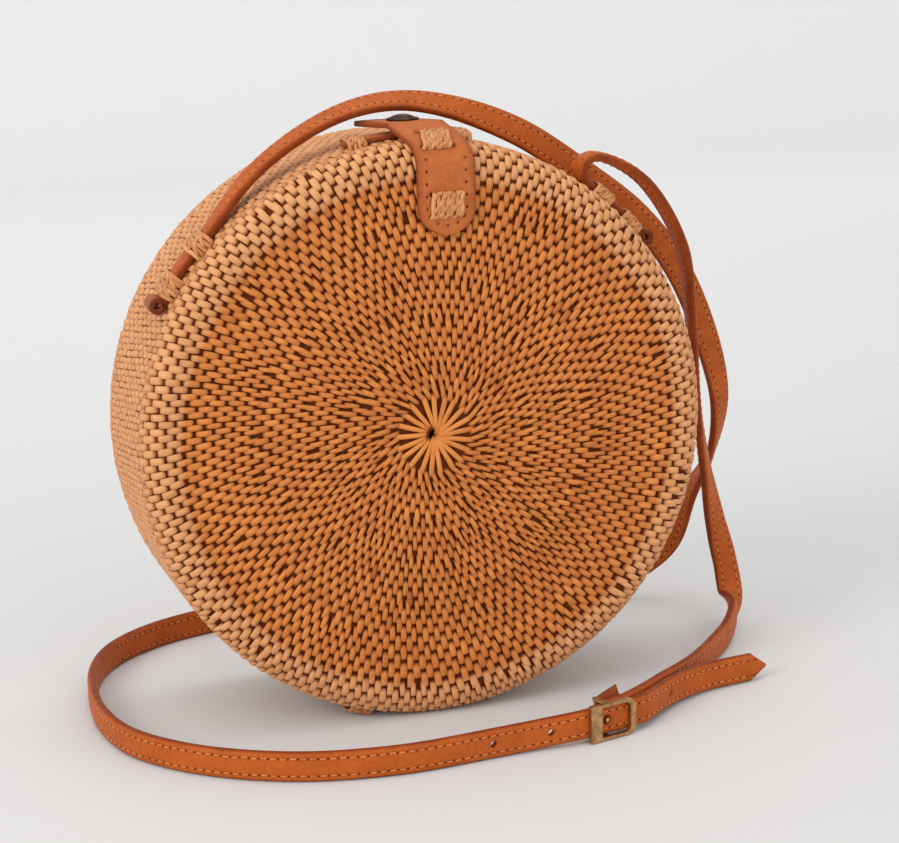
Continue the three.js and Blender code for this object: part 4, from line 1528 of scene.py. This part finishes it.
@dataclass
class Lashing:
    """Cane laced over something in strands that cross each other.

    along is the direction in which the strands lie side by side, over the one in which they
    cross what they hold, and up the one away from it.
    """

    name: str
    node: str
    body: Body
    origin: Array
    along: Array
    over: Array
    up: Array
    path: Array
    strands: int
    length: float
    width: float = 0.00078
    thick: float = 0.0008
    lean: float = 0.0012
    links: int = 4
    seed: int = 11
    tone: float = 0.62
    tones: float = 0.16
    spot_jitter: float = 0.00008
    sway: float = 0.00018
    ripple: float = 0.00012
    link_rise: float = 0.00045
    link_span: float = 0.17

    def _place(self, shift: Array, share: Array, lift: Array) -> tuple[Array, Array]:
        """Points on the arch and their outward directions, by shift along and share over it."""
        course = Course(self.path * 1000)
        flat = share.ravel()
        spot = course.at(flat) / 1000
        slope = unit(course.at(np.clip(flat + 0.01, 0, 1)) - course.at(np.clip(flat - 0.01, 0, 1)))
        normal = np.stack([-slope[:, 1], slope[:, 0]], -1)
        outward = normal[:, :1] * self.over + normal[:, 1:] * self.up
        points = (self.origin + self.along * shift.ravel()[:, None] + self.over * spot[:, :1]
                  + self.up * spot[:, 1:] + outward * lift.ravel()[:, None])
        return points.reshape(*share.shape, 3), outward.reshape(*share.shape, 3)

    def _add(self, form: Form, shift: Array, share: Array, lift: Array, width: Array,
             depth: Array, random: np.random.Generator) -> None:
        """Adds strands by their shift, share and lift at each ring."""
        centres, ups = self._place(shift, share, lift)
        seeds = random.random(len(shift))
        tones = np.clip(random.normal(self.tone, self.tones, len(shift)), 0, 1)
        add_strips(form, centres, ups, width, np.full(shift.shape, self.thick),
                   np.linspace(0, self.length, shift.shape[1]), seeds, tones, depth, LACING_SHADE,
                   np.zeros(1))

    def form(self) -> Form:
        """Strands over the arch, and short links that cross from each to the next."""
        random = np.random.default_rng(self.seed)
        form = Form()
        rings = 15
        share = np.broadcast_to(np.linspace(0, 1, rings), (self.strands, rings))
        spots = (np.arange(self.strands) - (self.strands - 1) / 2) * self.length / self.strands
        spots = spots + random.normal(0, self.spot_jitter, self.strands)
        leans = self.lean * np.where(np.arange(self.strands) % 2, 0.35, 1.0)
        shift = spots[:, None] + leans[:, None] * (share - 0.5)
        shift = shift + self.sway * np.sin(share * 14 + random.uniform(0, 6, self.strands)[:, None])
        lift = self.ripple * np.sin(share * 17 + random.uniform(0, 6, self.strands)[:, None])
        width = np.full(share.shape, self.width)
        # Painted shade at both ends of each strand, where it goes under.
        depth = np.clip((np.abs(share - 0.5) - 0.38) * 5, 0, 0.7)
        self._add(form, shift, share, lift, width, depth, random)
        steps = np.linspace(0, 1, 6)
        starts, middles = [], []
        for strand in range(self.strands - 1):
            for link in range(self.links):
                starts.append(spots[strand])
                offset = 0.5 * (strand % 2)
                middles.append(0.17 + 0.66 * (link + 0.25 + offset) / self.links)
        starts = np.array(starts)[:, None]
        gap = self.length / self.strands
        middles = np.array(middles)[:, None] + random.normal(0, 0.01, (len(middles), 1))
        shift = starts - 0.15 * gap + 1.3 * gap * steps
        share = np.clip(middles + (steps - 0.5) * self.link_span, 0, 1)
        arch = np.sin(steps * math.pi)
        lift = np.broadcast_to(self.link_rise * arch - 0.0001, shift.shape)
        width = np.broadcast_to(self.width * (0.62 + 0.25 * arch), shift.shape)
        # Painted shade at the ends of each link, where it tucks under the strands.
        depth = np.broadcast_to(0.5 * (1 - arch), shift.shape)
        self._add(form, shift, share, lift, width, depth, random)
        return form

    def build(self, finishes: "Wardrobe") -> None:
        """Makes the lashing and puts it on its body."""
        settle(self.form().build(self.name, finishes.lacing), self.body, self.node)


@dataclass
class Flap:
    """Leather flap that is laced to the lid and snaps to the tab."""

    drum: DrumFrame
    width: float = 0.0202
    thickness: float = 0.002
    drop: float = 0.0315
    round_length: float = 0.009
    offset: float = 0.006
    skew: float = 0.013
    back_reach: float = 0.0095
    bend_angle: float = 60.0
    fit: float = 0.0003
    tab: float = 0.0018
    snap_space: float = 0.0016
    awl: float = 0.0005
    awl_inset: float = 0.0032
    awl_pitch: float = 0.0041
    slot_width: float = 0.0012
    tie_span: float = 0.0086
    tie_length: float = 0.0115
    face_tie_height: float = 0.0215
    top_tie_setback: float = 0.0065

    def __post_init__(self) -> None:
        self.rim_top = 2 * self.drum.radius
        self.bend_radius = self.drum.edge_radius + self.fit + self.thickness / 2
        self.bend_centre = (self.drum.front + self.drum.edge_radius,
                            self.rim_top - self.drum.edge_radius)
        self.face_y = self.drum.front - self.fit - self.thickness / 2
        self.low = self.rim_top - self.drop
        self.base = self.rim_top + self.fit + self.tab + self.snap_space
        self.seam = (self.drum.lid_edge + self.drum.shell_edge) / 2

    def centre_x(self, y: Array) -> Array:
        """Middle of the flap's width: it swings to the left towards the back."""
        start = self.bend_centre[0] - self.bend_radius
        return self.offset - self.skew * np.clip((y - start) / (-self.back_reach - start), 0, None)

    def path(self) -> tuple[Array, Array]:
        """Places along Y and Z from the lower end to the back, and the share of the full width."""
        shares = 1 - np.cos(np.linspace(0, 1, 12) * math.pi / 2)
        shares[0] = 0.006
        rows = [(self.face_y, self.low + share * self.round_length, share) for share in shares]
        top = self.bend_centre[1]
        for z in np.linspace(self.low + self.round_length, top, 10)[1:-1]:
            rows.append((self.face_y, z, 1))
        for angle in np.radians(np.linspace(0, self.bend_angle, 12)):
            rows.append((self.bend_centre[0] - self.bend_radius * math.cos(angle),
                         top + self.bend_radius * math.sin(angle), 1))
        y, z, _ = rows[-1]
        level = self.base + self.thickness / 2
        start = y + (level - z) * math.tan(math.radians(self.bend_angle))
        for share in np.linspace(0, 1, 7)[1:-1]:
            rows.append((y + (start - y) * share, z + (level - z) * share, 1))
        for place in np.linspace(start, -self.back_reach, 9):
            rows.append((place, level, 1))
        table = np.array(rows)
        return table[:, :2], table[:, 2]

    def leather(self) -> Form:
        """The flap's leather, with softened edges."""
        path, shares = self.path()
        centre = np.stack([self.centre_x(path[:, 0]), path[:, 0], path[:, 1]], -1)
        along = unit(np.gradient(centre, axis=0) * [0, 1, 1])
        wide = np.broadcast_to(np.array([1.0, 0, 0]), along.shape)
        face = np.cross(along, wide)
        run = distances(centre)
        widths = np.sqrt(1 - (1 - np.minimum(shares, 1)) ** 2)
        section = rounded_section(self.width / 2, self.thickness / 2, 0.0007, 3, 0.00015, 10)
        return band_form(Stations(centre, along, wide, face, run), section, widths)

    def awl_points(self) -> list[Array]:
        """Places of the awl holes, up one side, round the end and down the other."""
        half = self.width / 2 - self.awl_inset
        low = self.low + self.round_length
        points = []
        for side in (-1, 1):
            for z in np.arange(low, self.bend_centre[1] + 0.003, self.awl_pitch):
                points.append(np.array([self.offset + side * half, self.face_y, z]))
        deep = self.round_length - self.awl_inset
        count = 6
        for step in range(1, count):
            angle = math.pi * step / count
            points.append(np.array([self.offset + half * math.cos(angle), self.face_y,
                                    low - deep * math.sin(angle)]))
        return points

    def holes(self) -> Form:
        """Cutter for the awl holes and the slots of the ties."""
        form = Form()
        out = np.array([0.0, -1.0, 0.0])
        for point in self.awl_points():
            round_cutter(point + out * self.thickness / 2, out, self.awl, 0.0012, form, 8)
        for place, along, up in self.tie_places():
            for side in (-1, 1):
                centre = place + along * side * (self.tie_span - self.slot_width) / 2
                self._slot(centre, along, up, form)
        return form

    def _slot(self, centre: Array, along: Array, up: Array, form: Form) -> None:
        """Adds a slot's cutter."""
        across = np.cross(along, up)
        half = self.tie_length / 2 + 0.0002
        centres = np.stack([centre - across * half, centre + across * half])[None]
        reach = self.slot_width * 0.62
        section = np.array([[-reach, -0.0003], [reach, -0.0003], [reach, 0.002], [-reach, 0.002]])
        one = np.ones((1, 2))
        points, faces = sweep(centres, np.broadcast_to(along, (1, 2, 3)),
                              np.broadcast_to(up, (1, 2, 3)), one, one, section)
        blank = np.zeros(points.shape[:3])
        # The slot's walls are painted dark as shade inside the slot.
        form.add(points, faces, hide=np.zeros(points.shape), rubbed=blank + 1)

    def tie_places(self) -> list[tuple[Array, Array, Array]]:
        """Middle, direction and outward direction of the face tie and the top tie."""
        slope = math.radians(90 - self.bend_angle)
        end_y = self.bend_centre[0] - self.bend_radius * math.cos(math.radians(self.bend_angle))
        end_z = self.bend_centre[1] + self.bend_radius * math.sin(math.radians(self.bend_angle))
        top_y = self.seam - self.top_tie_setback
        top_z = end_z + (top_y - end_y) * math.tan(slope)
        face_z = self.rim_top - self.face_tie_height
        places = []
        for y, z, tilt in ((self.face_y, face_z, math.pi / 2), (top_y, top_z, slope)):
            point = np.array([float(self.centre_x(np.array(y))), y, z])
            places.append((point, np.array([0.0, math.cos(tilt), math.sin(tilt)]),
                           np.array([0.0, -math.sin(tilt), math.cos(tilt)])))
        return places

    def ties(self) -> list[Lashing]:
        """The two lashings."""
        half, surface = self.tie_span / 2, self.thickness / 2
        path = mirrored([
            [-half + 0.0004, surface - 0.0016], [-half + 0.0003, surface - 0.0003],
            [-half + 0.0014, surface + 0.00035], [0, surface + 0.0006],
        ])
        made = []
        lengths = (self.tie_length, self.tie_length - 0.0015)
        for name, length, (place, along, up) in zip(("face", "top"), lengths, self.tie_places()):
            made.append(Lashing(
                f"flap_lacing_{name}", f"flap_tie_{name}", Body.LID, place, np.cross(along, up),
                along, up, path, strands=7, length=length, lean=0.0016, links=3,
                seed=41 + len(made),
            ))
        return made

    def build(self, finishes: "Wardrobe") -> None:
        """Makes the flap and its ties and puts them on the lid."""
        piece = self.leather().build("leather_flap", finishes.flap)
        cut(piece, self.holes(), finishes.flap)
        settle(piece, Body.LID, "flap")
        for tie in self.ties():
            tie.build(finishes)


@dataclass
class SnapTab:
    """Leather tab on the rim under the flap, laced down at both ends."""

    drum: DrumFrame
    strap: StrapSizes
    angle: float = -1.0
    spread: float = 10.5
    width: float = 0.009
    thickness: float = 0.0018
    tie_length: float = 0.0065

    def build(self, finishes: "Wardrobe") -> None:
        """Makes the tab and its ties and puts them on the drum."""
        reach = self.spread + math.degrees(self.tie_length / 2 / self.drum.radius)
        angles = self.angle + np.linspace(-reach, reach, 30)
        height = self.strap.fit + self.thickness / 2
        line = self.strap.tie_line
        centre = np.array([self.drum.rim_point(a, height, line) for a in angles])
        face = np.array([self.drum.outward(a) for a in angles])
        wide = np.broadcast_to(BACKWARD, face.shape)
        run = np.radians(angles - angles[0]) * self.drum.radius
        section = rounded_section(self.width / 2, self.thickness / 2, 0.0006, 3, 0.0001, 4)
        piece = band_form(Stations(centre, np.cross(wide, face), wide, face, run), section).build(
            "leather_tab", finishes.flap)
        settle(piece, Body.DRUM, "snap_tab")
        for side, name in ((-1, "left"), (1, "right")):
            rim_lashing(self.drum, self.strap, f"tab_lacing_{name}", f"tab_tie_{name}",
                        self.angle + side * self.spread, self.width, self.thickness,
                        self.tie_length, 4, 61 + side).build(finishes)


def rim_lashing(drum: DrumFrame, strap: StrapSizes, name: str, node: str, angle: float,
                covered: float, thickness: float, length: float, strands: int,
                seed: int) -> Lashing:
    """Lashing over something that lies on the rim.

    Args:
        drum: The drum.
        strap: The straps' sizes, for the line that the ties follow.
        name: The lashing's name.
        node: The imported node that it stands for.
        angle: Its angle around the drum.
        covered: Width of what it holds.
        thickness: Thickness of what it holds.
        length: Its length around the rim.
        strands: Strands side by side.
        seed: Seed of its irregularities.

    Returns:
        The lashing.
    """
    half = covered / 2
    top = strap.fit + thickness + 0.0002
    path = mirrored([
        [-half - 0.0016, -0.0012], [-half - 0.0014, 0.0006], [-half - 0.0007, top - 0.0003],
        [-half + 0.0012, top + 0.0002], [0, top + 0.00045],
    ])
    up = drum.outward(angle)
    origin = drum.rim_point(angle, 0, strap.tie_line)
    return Lashing(name, node, Body.DRUM, origin, np.cross(BACKWARD, up), BACKWARD, up, path,
                   strands=strands, length=length, seed=seed)


@dataclass
class HingeKnots:
    """Cane knots at the bottom, behind the seam, that hinge the lid."""

    drum: DrumFrame
    reach: float = 0.012
    length: float = 0.0085

    def build(self, finishes: "Wardrobe") -> None:
        """Makes both knots and puts them on the drum."""
        for side, height, seed in (("left", 0.0026, 71), ("right", 0.0009, 72)):
            node = f"hinge_tie_{side}"
            centre = node_centre(node)
            angle = self.drum.angle_of(centre)
            up = self.drum.outward(angle)
            half = self.reach / 2
            path = mirrored([
                [-half, -0.001], [-half + 0.0005, height * 0.5], [-half * 0.5, height * 0.92],
                [0, height],
            ])
            origin = self.drum.rim_point(angle, 0, float(centre[1]))
            Lashing(f"hinge_knot_{side}", node, Body.DRUM, origin, np.cross(BACKWARD, up), BACKWARD,
                    up, path, strands=5, length=self.length, links=4, seed=seed).build(finishes)


def turned_form(profile: Array, centre: Array, axis: Array, sides: int = 32) -> Form:
    """Solid of revolution.

    Args:
        profile: Radius and height of each point, from the axis at one end to the axis at the other.
        centre: Place of height 0 on the axis.
        axis: Direction of the axis.
        sides: Sides around it.

    Returns:
        The closed form.
    """
    axis = unit(np.asarray(axis, dtype=float))
    side = square_to(axis)
    other = np.cross(axis, side)
    angle = np.arange(sides) * 2 * math.pi / sides
    spin = np.cos(angle)[:, None] * side + np.sin(angle)[:, None] * other
    inner = profile[1:-1]
    rings = centre + inner[:, None, :1] * spin[None] + inner[:, None, 1:] * axis
    ends = centre + profile[[0, -1], 1][:, None] * axis
    index = np.arange(len(inner) * sides).reshape(len(inner), sides)
    beside = np.roll(index, -1, axis=1)
    quads = np.stack([index[:-1], beside[:-1], beside[1:], index[1:]], -1).reshape(-1, 4)
    low, high = index.size, index.size + 1
    start = np.stack([np.full(sides, low), beside[0], index[0]], -1)
    end = np.stack([np.full(sides, high), index[-1], beside[-1]], -1)
    form = Form()
    form.add(np.concatenate([rings.reshape(-1, 3), ends]), [quads, start, end])
    return form


@dataclass
class Snap:
    """Press snap: a domed cap on the flap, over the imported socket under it."""

    radius: float = 0.0056
    height: float = 0.0019

    def build(self, finishes: "Wardrobe") -> None:
        """Makes the cap and finishes the socket."""
        low, high = node_corners("snap_cap")
        centre = np.array([(low[0] + high[0]) / 2, (low[1] + high[1]) / 2, low[2]])
        shape = np.array([
            [0, -0.1], [0.94, -0.1], [1.0, 0.05], [1.0, 0.2], [0.93, 0.34], [0.84, 0.36], [0.8, 0.3],
            [0.76, 0.42], [0.62, 0.66], [0.42, 0.86], [0.2, 0.97], [0, 1.0],
        ])
        profile = shape * [self.radius, self.height]
        cap = turned_form(profile, centre, [0, 0, 1], 40).build("snap_button", finishes.dark_brass)
        settle(cap, Body.LID, "snap_cap")
        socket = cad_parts["snap_socket"]
        socket.data.materials.clear()
        socket.data.materials.append(finishes.dark_brass)


def rounded_loop(corners: list[tuple[float, float, float, int]]) -> list[Vector]:
    """Outline with four rounded corners.

    Args:
        corners: Centre along and up, radius and steps of each corner, counterclockwise from the
            one at the upper right.

    Returns:
        Its points, along and up.
    """
    points = []
    for start, (along, up, radius, steps) in zip((0, 90, 180, 270), corners):
        for step in range(steps + 1):
            angle = math.radians(start + 90 * step / steps)
            points.append(Vector((along + radius * math.cos(angle),
                                  up + radius * math.sin(angle), 0)))
    return points


@dataclass
class Buckle:
    """Brass buckle with its bar and prong, and the folded end of the short strap behind it."""

    place: BucklePlace
    strap: StrapSizes
    bevel: float = 0.00045
    left_corner: float = 0.0006
    window_left_corner: float = 0.0004
    window_right_corner: float = 0.0022
    fold_length: float = 0.010
    fold_height: float = 0.0085
    fold_turn: float = 18.0

    def outline(self) -> list[Vector]:
        """Outer outline of the frame, along and up from its centre."""
        sizes, small = self.place.sizes, self.left_corner
        half, tall, corner = sizes.length / 2, sizes.height / 2, sizes.corner
        return rounded_loop([
            (half - corner, tall - corner, corner, 8), (small - half, tall - small, small, 3),
            (small - half, small - tall, small, 3), (half - corner, corner - tall, corner, 8),
        ])

    def window(self) -> list[Vector]:
        """Outline of the window, along and up from the frame's centre."""
        sizes, small, wide = self.place.sizes, self.window_left_corner, self.window_right_corner
        left, right = sizes.left_bar - sizes.length / 2, sizes.length / 2 - sizes.right_bar
        tall = sizes.height / 2 - sizes.rail
        return rounded_loop([
            (right - wide, tall - wide, wide, 4), (left + small, tall - small, small, 4),
            (left + small, small - tall, small, 4), (right - wide, wide - tall, wide, 4),
        ])

    def _matrix(self, out: float) -> Matrix:
        """Transform from along, up and out to the frame, a distance out from the strap."""
        place = self.place
        origin = place.at(0, 0, out)
        columns = (place.along, place.up, place.out)
        rows = [[float(column[i]) for column in columns] + [float(origin[i])] for i in range(3)]
        return Matrix((*rows, (0, 0, 0, 1)))

    def frame_piece(self, finish: bpy.types.Material) -> Piece:
        """The frame with bevelled edges, its lugs and the bar behind the strap."""
        sizes, place = self.place.sizes, self.place
        mesh_data = bmesh.new()
        edges = []
        for loop in (self.outline(), self.window()):
            corners = [mesh_data.verts.new(point) for point in loop]
            edges += [mesh_data.edges.new((a, b)) for a, b in zip(corners, corners[1:] + corners[:1])]
        bmesh.ops.triangle_fill(mesh_data, use_beauty=True, use_dissolve=False, edges=edges)
        grown = bmesh.ops.extrude_face_region(mesh_data, geom=mesh_data.faces[:])
        lifted = [part for part in grown["geom"] if isinstance(part, bmesh.types.BMVert)]
        bmesh.ops.translate(mesh_data, verts=lifted, vec=(0, 0, sizes.plate))
        bmesh.ops.recalc_face_normals(mesh_data, faces=mesh_data.faces[:])
        sharp = [edge for edge in mesh_data.edges
                 if len(edge.link_faces) == 2 and edge.calc_face_angle(0) > math.radians(40)]
        bmesh.ops.bevel(mesh_data, geom=sharp, offset=self.bevel, segments=3, profile=0.6,
                        affect="EDGES", clamp_overlap=True)
        lug_depth = place.front - place.bar_depth + sizes.bar
        for side in (-1, 1):
            size = Vector((2.2 * sizes.bar, sizes.rail * 0.8, lug_depth))
            spot = Vector((sizes.bar_offset, side * (sizes.height - sizes.rail) / 2, -lug_depth / 2))
            made = bmesh.ops.create_cube(mesh_data, size=1)
            bmesh.ops.transform(mesh_data, verts=made["verts"],
                                matrix=Matrix.Translation(spot) @ Matrix.Diagonal((*size, 1)))
        bar = bmesh.ops.create_cone(mesh_data, cap_ends=True, segments=16, radius1=sizes.bar,
                                    radius2=sizes.bar, depth=sizes.height - sizes.rail)
        turn = Matrix.Rotation(math.pi / 2, 4, "X")
        spot = Vector((sizes.bar_offset, 0, place.bar_depth - place.front))
        bmesh.ops.transform(mesh_data, verts=bar["verts"], matrix=Matrix.Translation(spot) @ turn)
        bmesh.ops.transform(mesh_data, verts=mesh_data.verts[:], matrix=self._matrix(place.front))
        mesh = bpy.data.meshes.new("brass_frame")
        mesh_data.to_mesh(mesh)
        mesh_data.free()
        mesh.shade_smooth()
        mesh.set_sharp_from_angle(angle=math.radians(35))
        mesh.materials.append(finish)
        piece = bpy.data.objects.new("brass_frame", mesh)
        bpy.context.scene.collection.objects.link(piece)
        return piece

    def build(self, finishes: "Wardrobe") -> None:
        """Makes the buckle and the folded end, and puts them on the drum's body."""
        place, sizes = self.place, self.place.sizes
        brass = self.frame_piece(finishes.brass)
        settle(brass, Body.DRUM, "buckle_frame")
        start = place.bar_depth + sizes.bar + self.strap.fit
        end = self.strap.thickness / 2 + sizes.prong
        profile = np.array([
            [0, start], [sizes.prong, start], [sizes.prong, end - sizes.prong * 0.9],
            [sizes.prong * 0.92, end - sizes.prong * 0.5], [sizes.prong * 0.7, end - sizes.prong * 0.2],
            [sizes.prong * 0.36, end - sizes.prong * 0.04], [0, end],
        ])
        prong = turned_form(profile, place.at(sizes.bar_offset, 0, 0), place.out, 20).build(
            "brass_prong", finishes.brass)
        settle(prong, Body.DRUM, "buckle_prong")
        fold = self.fold_end().build("strap_fold", finishes.loop)
        settle(fold, Body.DRUM, "strap_fold_end")

    def fold_end(self) -> Form:
        """Folded leather end behind the buckle, turned up at a slant."""
        place, sizes = self.place, self.place.sizes
        length, height, turn = self.fold_length, self.fold_height, math.radians(self.fold_turn)
        out = (place.bar_depth - max(self.strap.thickness / 2, place.fold) - self.strap.fit
               - sizes.fold_leather / 2)
        middle = place.at(sizes.bar_offset + place.fold + length / 2, height / 4, out)
        along = place.along * math.cos(turn) + place.up * math.sin(turn)
        wide = place.up * math.cos(turn) - place.along * math.sin(turn)
        steps = 9
        run = np.linspace(0, length, steps)
        centre = middle + along * (run - length / 2)[:, None]
        ones = np.ones((steps, 1))
        rings = Stations(centre, ones * along, ones * wide, ones * np.cross(wide, along), run)
        section = rounded_section(height / 2, sizes.fold_leather / 2, 0.0005, 3, 0.0001, 4)
        return band_form(rings, section)


@dataclass
class StrapSet:
    """Both straps with their ties on the rim."""

    drum: DrumFrame
    sizes: StrapSizes
    place: BucklePlace
    tip: float = 0.006
    punch: float = 0.0013
    holes: tuple[float, ...] = (-0.042, -0.021, 0.036)

    def _loop_centre(self, angle: float) -> Array:
        """Centre of the folded loop at a strap's end."""
        height = self.sizes.fit + self.sizes.loop_hole + self.sizes.loop_leather
        return self.drum.rim_point(angle, height, self.sizes.tie_line)

    def build(self, finishes: "Wardrobe") -> None:
        """Makes the straps and their ties."""
        sizes, place = self.sizes, self.place
        route = StrapRoute(self.drum, sizes, place)
        long_end = sizes.left_lower - sizes.end_reach
        rows = route.seats(long_end, sizes.left_lower, sizes.left_upper,
                           sizes.left_upper + sizes.tie_lead)
        rows += [route.arch(row) for row in LONG_ARCH]
        rows += [route.floor(row, 1) for row in LONG_FLOOR]
        rows += [route.past_buckle(share * place.sizes.length, 0, 1)
                 for share in (-0.65, 0, 0.42, 0.8)]
        rows += [route.floor(row, 1) for row in LONG_TAIL]
        rings = route.stations(rows)
        nearest = int(np.argmin(np.linalg.norm(rings.centre - place.centre, axis=1)))
        pin = rings.run[nearest] + place.sizes.bar_offset
        cutter = Form()
        for distance in self.holes:
            spot = rings.at(np.array([pin + distance]))
            round_cutter(spot.centre[0], spot.face[0], self.punch, 3 * sizes.thickness, cutter)
        round_cutter(place.at(place.sizes.bar_offset, 0, 0), place.out, self.punch + 0.0005,
                     3 * sizes.thickness, cutter)
        Strap("long_strap", "strap_long", rings, sizes, self._loop_centre(long_end),
              tip=self.tip, seed=5).build(finishes, cutter)
        short_end = sizes.right_lower + sizes.end_reach
        rows = route.seats(short_end, sizes.right_lower, sizes.right_upper,
                           sizes.right_upper - sizes.tie_lead)
        rows += [route.arch(row) for row in SHORT_LOOP]
        rows += [route.floor(row, -1) for row in SHORT_FLOOR]
        offset = place.sizes.bar_offset
        rows += [route.past_buckle(offset + share * place.sizes.length, place.bar_depth, -1)
                 for share in (0.55, 0.32)]
        rows.append(route.past_buckle(offset + place.fold - place.sizes.fold_leather / 2,
                                      place.bar_depth, -1))
        Strap("short_strap", "strap_short", route.stations(rows), sizes,
              self._loop_centre(short_end), seed=6).build(finishes)
        ties = (("left_lower", sizes.left_lower), ("left_upper", sizes.left_upper),
                ("right_upper", sizes.right_upper), ("right_lower", sizes.right_lower))
        for number, (name, angle) in enumerate(ties):
            rim_lashing(self.drum, sizes, f"strap_lacing_{name}", f"strap_tie_{name}", angle,
                        sizes.width, sizes.thickness, 0.0085, 5, 51 + number).build(finishes)


@dataclass
class Wardrobe:
    """The materials, each made once."""

    effects: Effects = field(default_factory=Effects)

    def __post_init__(self) -> None:
        self.cane = CANE.material(self.effects)
        self.lacing = LACING.material(self.effects)
        self.core = CORE.material(self.effects)
        self.strap = STRAP_LEATHER.material(self.effects)
        self.loop = PLAIN_LEATHER.material(self.effects)
        self.flap = FLAP_LEATHER.material(self.effects)
        self.thread = THREAD.material(self.effects)
        self.brass = BRASS.material(self.effects)
        self.dark_brass = DARK_BRASS.material(self.effects)


@dataclass
class Studio:
    """Camera, pale sweep and soft lights."""

    camera_place: tuple[float, float, float] = (-0.2241, -0.74594, 0.26632)
    forward: tuple[float, float, float] = (0.28137, 0.9366, -0.20883)
    right: tuple[float, float, float] = (0.95512, -0.29434, -0.0332)
    sensor: float = 36.0
    lens: float = 89.91
    shift: tuple[float, float] = (0.0505, -0.0064)
    lamp_target: tuple[float, float, float] = (0, 0, 0.08)
    floor_front: float = -4.0
    floor_half: float = 5.0
    floor_sink: float = 0.0002
    bend_start: float = 1.8
    bend_radius: float = 0.8
    backdrop: float = 5.0
    near_floor: Colour = linear(212, 212, 212)
    far_floor: Colour = linear(238, 238, 238)
    floor_fade: tuple[float, float] = (0.1, 1.3)
    world_strength: float = 0.9

    def camera(self) -> None:
        """Camera at the photograph's angle."""
        data = bpy.data.cameras.new("camera")
        data.sensor_width = self.sensor
        data.lens = self.lens
        data.shift_x, data.shift_y = self.shift
        data.clip_start, data.clip_end = 0.01, 20
        camera = bpy.data.objects.new("camera", data)
        forward = Vector(self.forward).normalized()
        right = (Vector(self.right) - forward * Vector(self.right).dot(forward)).normalized()
        up = right.cross(forward)
        rows = [(right[i], up[i], -forward[i], self.camera_place[i]) for i in range(3)]
        camera.matrix_world = Matrix((*rows, (0, 0, 0, 1)))
        bpy.context.scene.collection.objects.link(camera)
        bpy.context.scene.camera = camera

    def lamp(self, name: str, place: tuple[float, float, float], size: float, power: float,
             colour: tuple[float, float, float] = (1, 1, 1)) -> None:
        """Soft square light that looks at the bag."""
        data = bpy.data.lights.new(name, "AREA")
        data.size = size
        data.energy = power
        data.color = colour
        lamp = bpy.data.objects.new(name, data)
        direction = Vector(self.lamp_target) - Vector(place)
        lamp.matrix_world = (Matrix.Translation(Vector(place))
                             @ direction.to_track_quat("-Z", "Y").to_matrix().to_4x4())
        bpy.context.scene.collection.objects.link(lamp)

    def sweep_floor(self) -> None:
        """Pale floor that curves up into a backdrop far behind."""
        angles = np.linspace(0, math.pi / 2, 16)
        bend, start = self.bend_radius, self.bend_start
        profile = [(self.floor_front, 0.0), (start, 0.0)]
        profile += [(start + bend * math.sin(a), bend * (1 - math.cos(a))) for a in angles[1:]]
        profile.append((start + bend, self.backdrop))
        rows = [[(x, y, z) for y, z in profile] for x in (-self.floor_half, self.floor_half)]
        points = np.array(rows) - np.array([0, 0, self.floor_sink])
        count = len(profile)
        low = np.arange(count - 1)
        quads = np.stack([low, low + count, low + count + 1, low + 1], -1)
        mesh = bpy.data.meshes.new("floor")
        mesh.from_pydata(points.reshape(-1, 3).tolist(), [], quads.tolist())
        mesh.shade_smooth()
        material, graph, shader = new_material("pale_floor")
        split = graph.node("ShaderNodeSeparateXYZ")
        graph.feed(split.inputs[0], graph.place())
        away = graph.span(split.outputs[1], *self.floor_fade, 0, 1)
        graph.feed(shader.inputs["Base Color"], graph.mix(away, self.near_floor, self.far_floor))
        shader.inputs["Roughness"].default_value = 0.8
        mesh.materials.append(material)
        floor = bpy.data.objects.new("floor", mesh)
        bpy.context.scene.collection.objects.link(floor)

    def build(self) -> None:
        """Sets up the studio."""
        self.camera()
        self.sweep_floor()
        self.lamp("key", (-1.4, -0.8, 0.9), 0.7, 12, (1.0, 0.99, 0.97))
        self.lamp("top", (0.2, 0.2, 1.7), 0.8, 4)
        self.lamp("fill", (0.5, -1.9, 0.9), 1.0, 5)
        world = bpy.data.worlds.new("studio")
        world.use_nodes = True
        background = world.node_tree.nodes["Background"]
        background.inputs["Color"].default_value = (1.0, 1.0, 1.0, 1)
        background.inputs["Strength"].default_value = self.world_strength
        bpy.context.scene.world = world
        bpy.context.scene.view_settings.view_transform = "Standard"
        bpy.context.scene.view_settings.look = "None"


def main() -> None:
    """Builds the studio and the bag."""
    logging.basicConfig(level=logging.INFO, format="%(name)s: %(message)s")
    Studio().build()
    finishes = Wardrobe()
    drum = DrumFrame.read()
    CoiledShell("lid", Outline(drum, drum.front, drum.lid_edge), "front_lid", Body.LID, -1,
                17).build(finishes)
    CoiledShell("shell", Outline(drum, drum.back, drum.shell_edge), "back_shell", Body.DRUM, 1,
                23, splits=[drum.radius]).build(finishes)
    strap = StrapSizes()
    place = BucklePlace(drum, strap, BuckleSizes())
    StrapSet(drum, strap, place).build(finishes)
    Buckle(place, strap).build(finishes)
    Flap(drum).build(finishes)
    SnapTab(drum, strap).build(finishes)
    Snap().build(finishes)
    HingeKnots(drum).build(finishes)


if __name__ == "__main__":
    main()
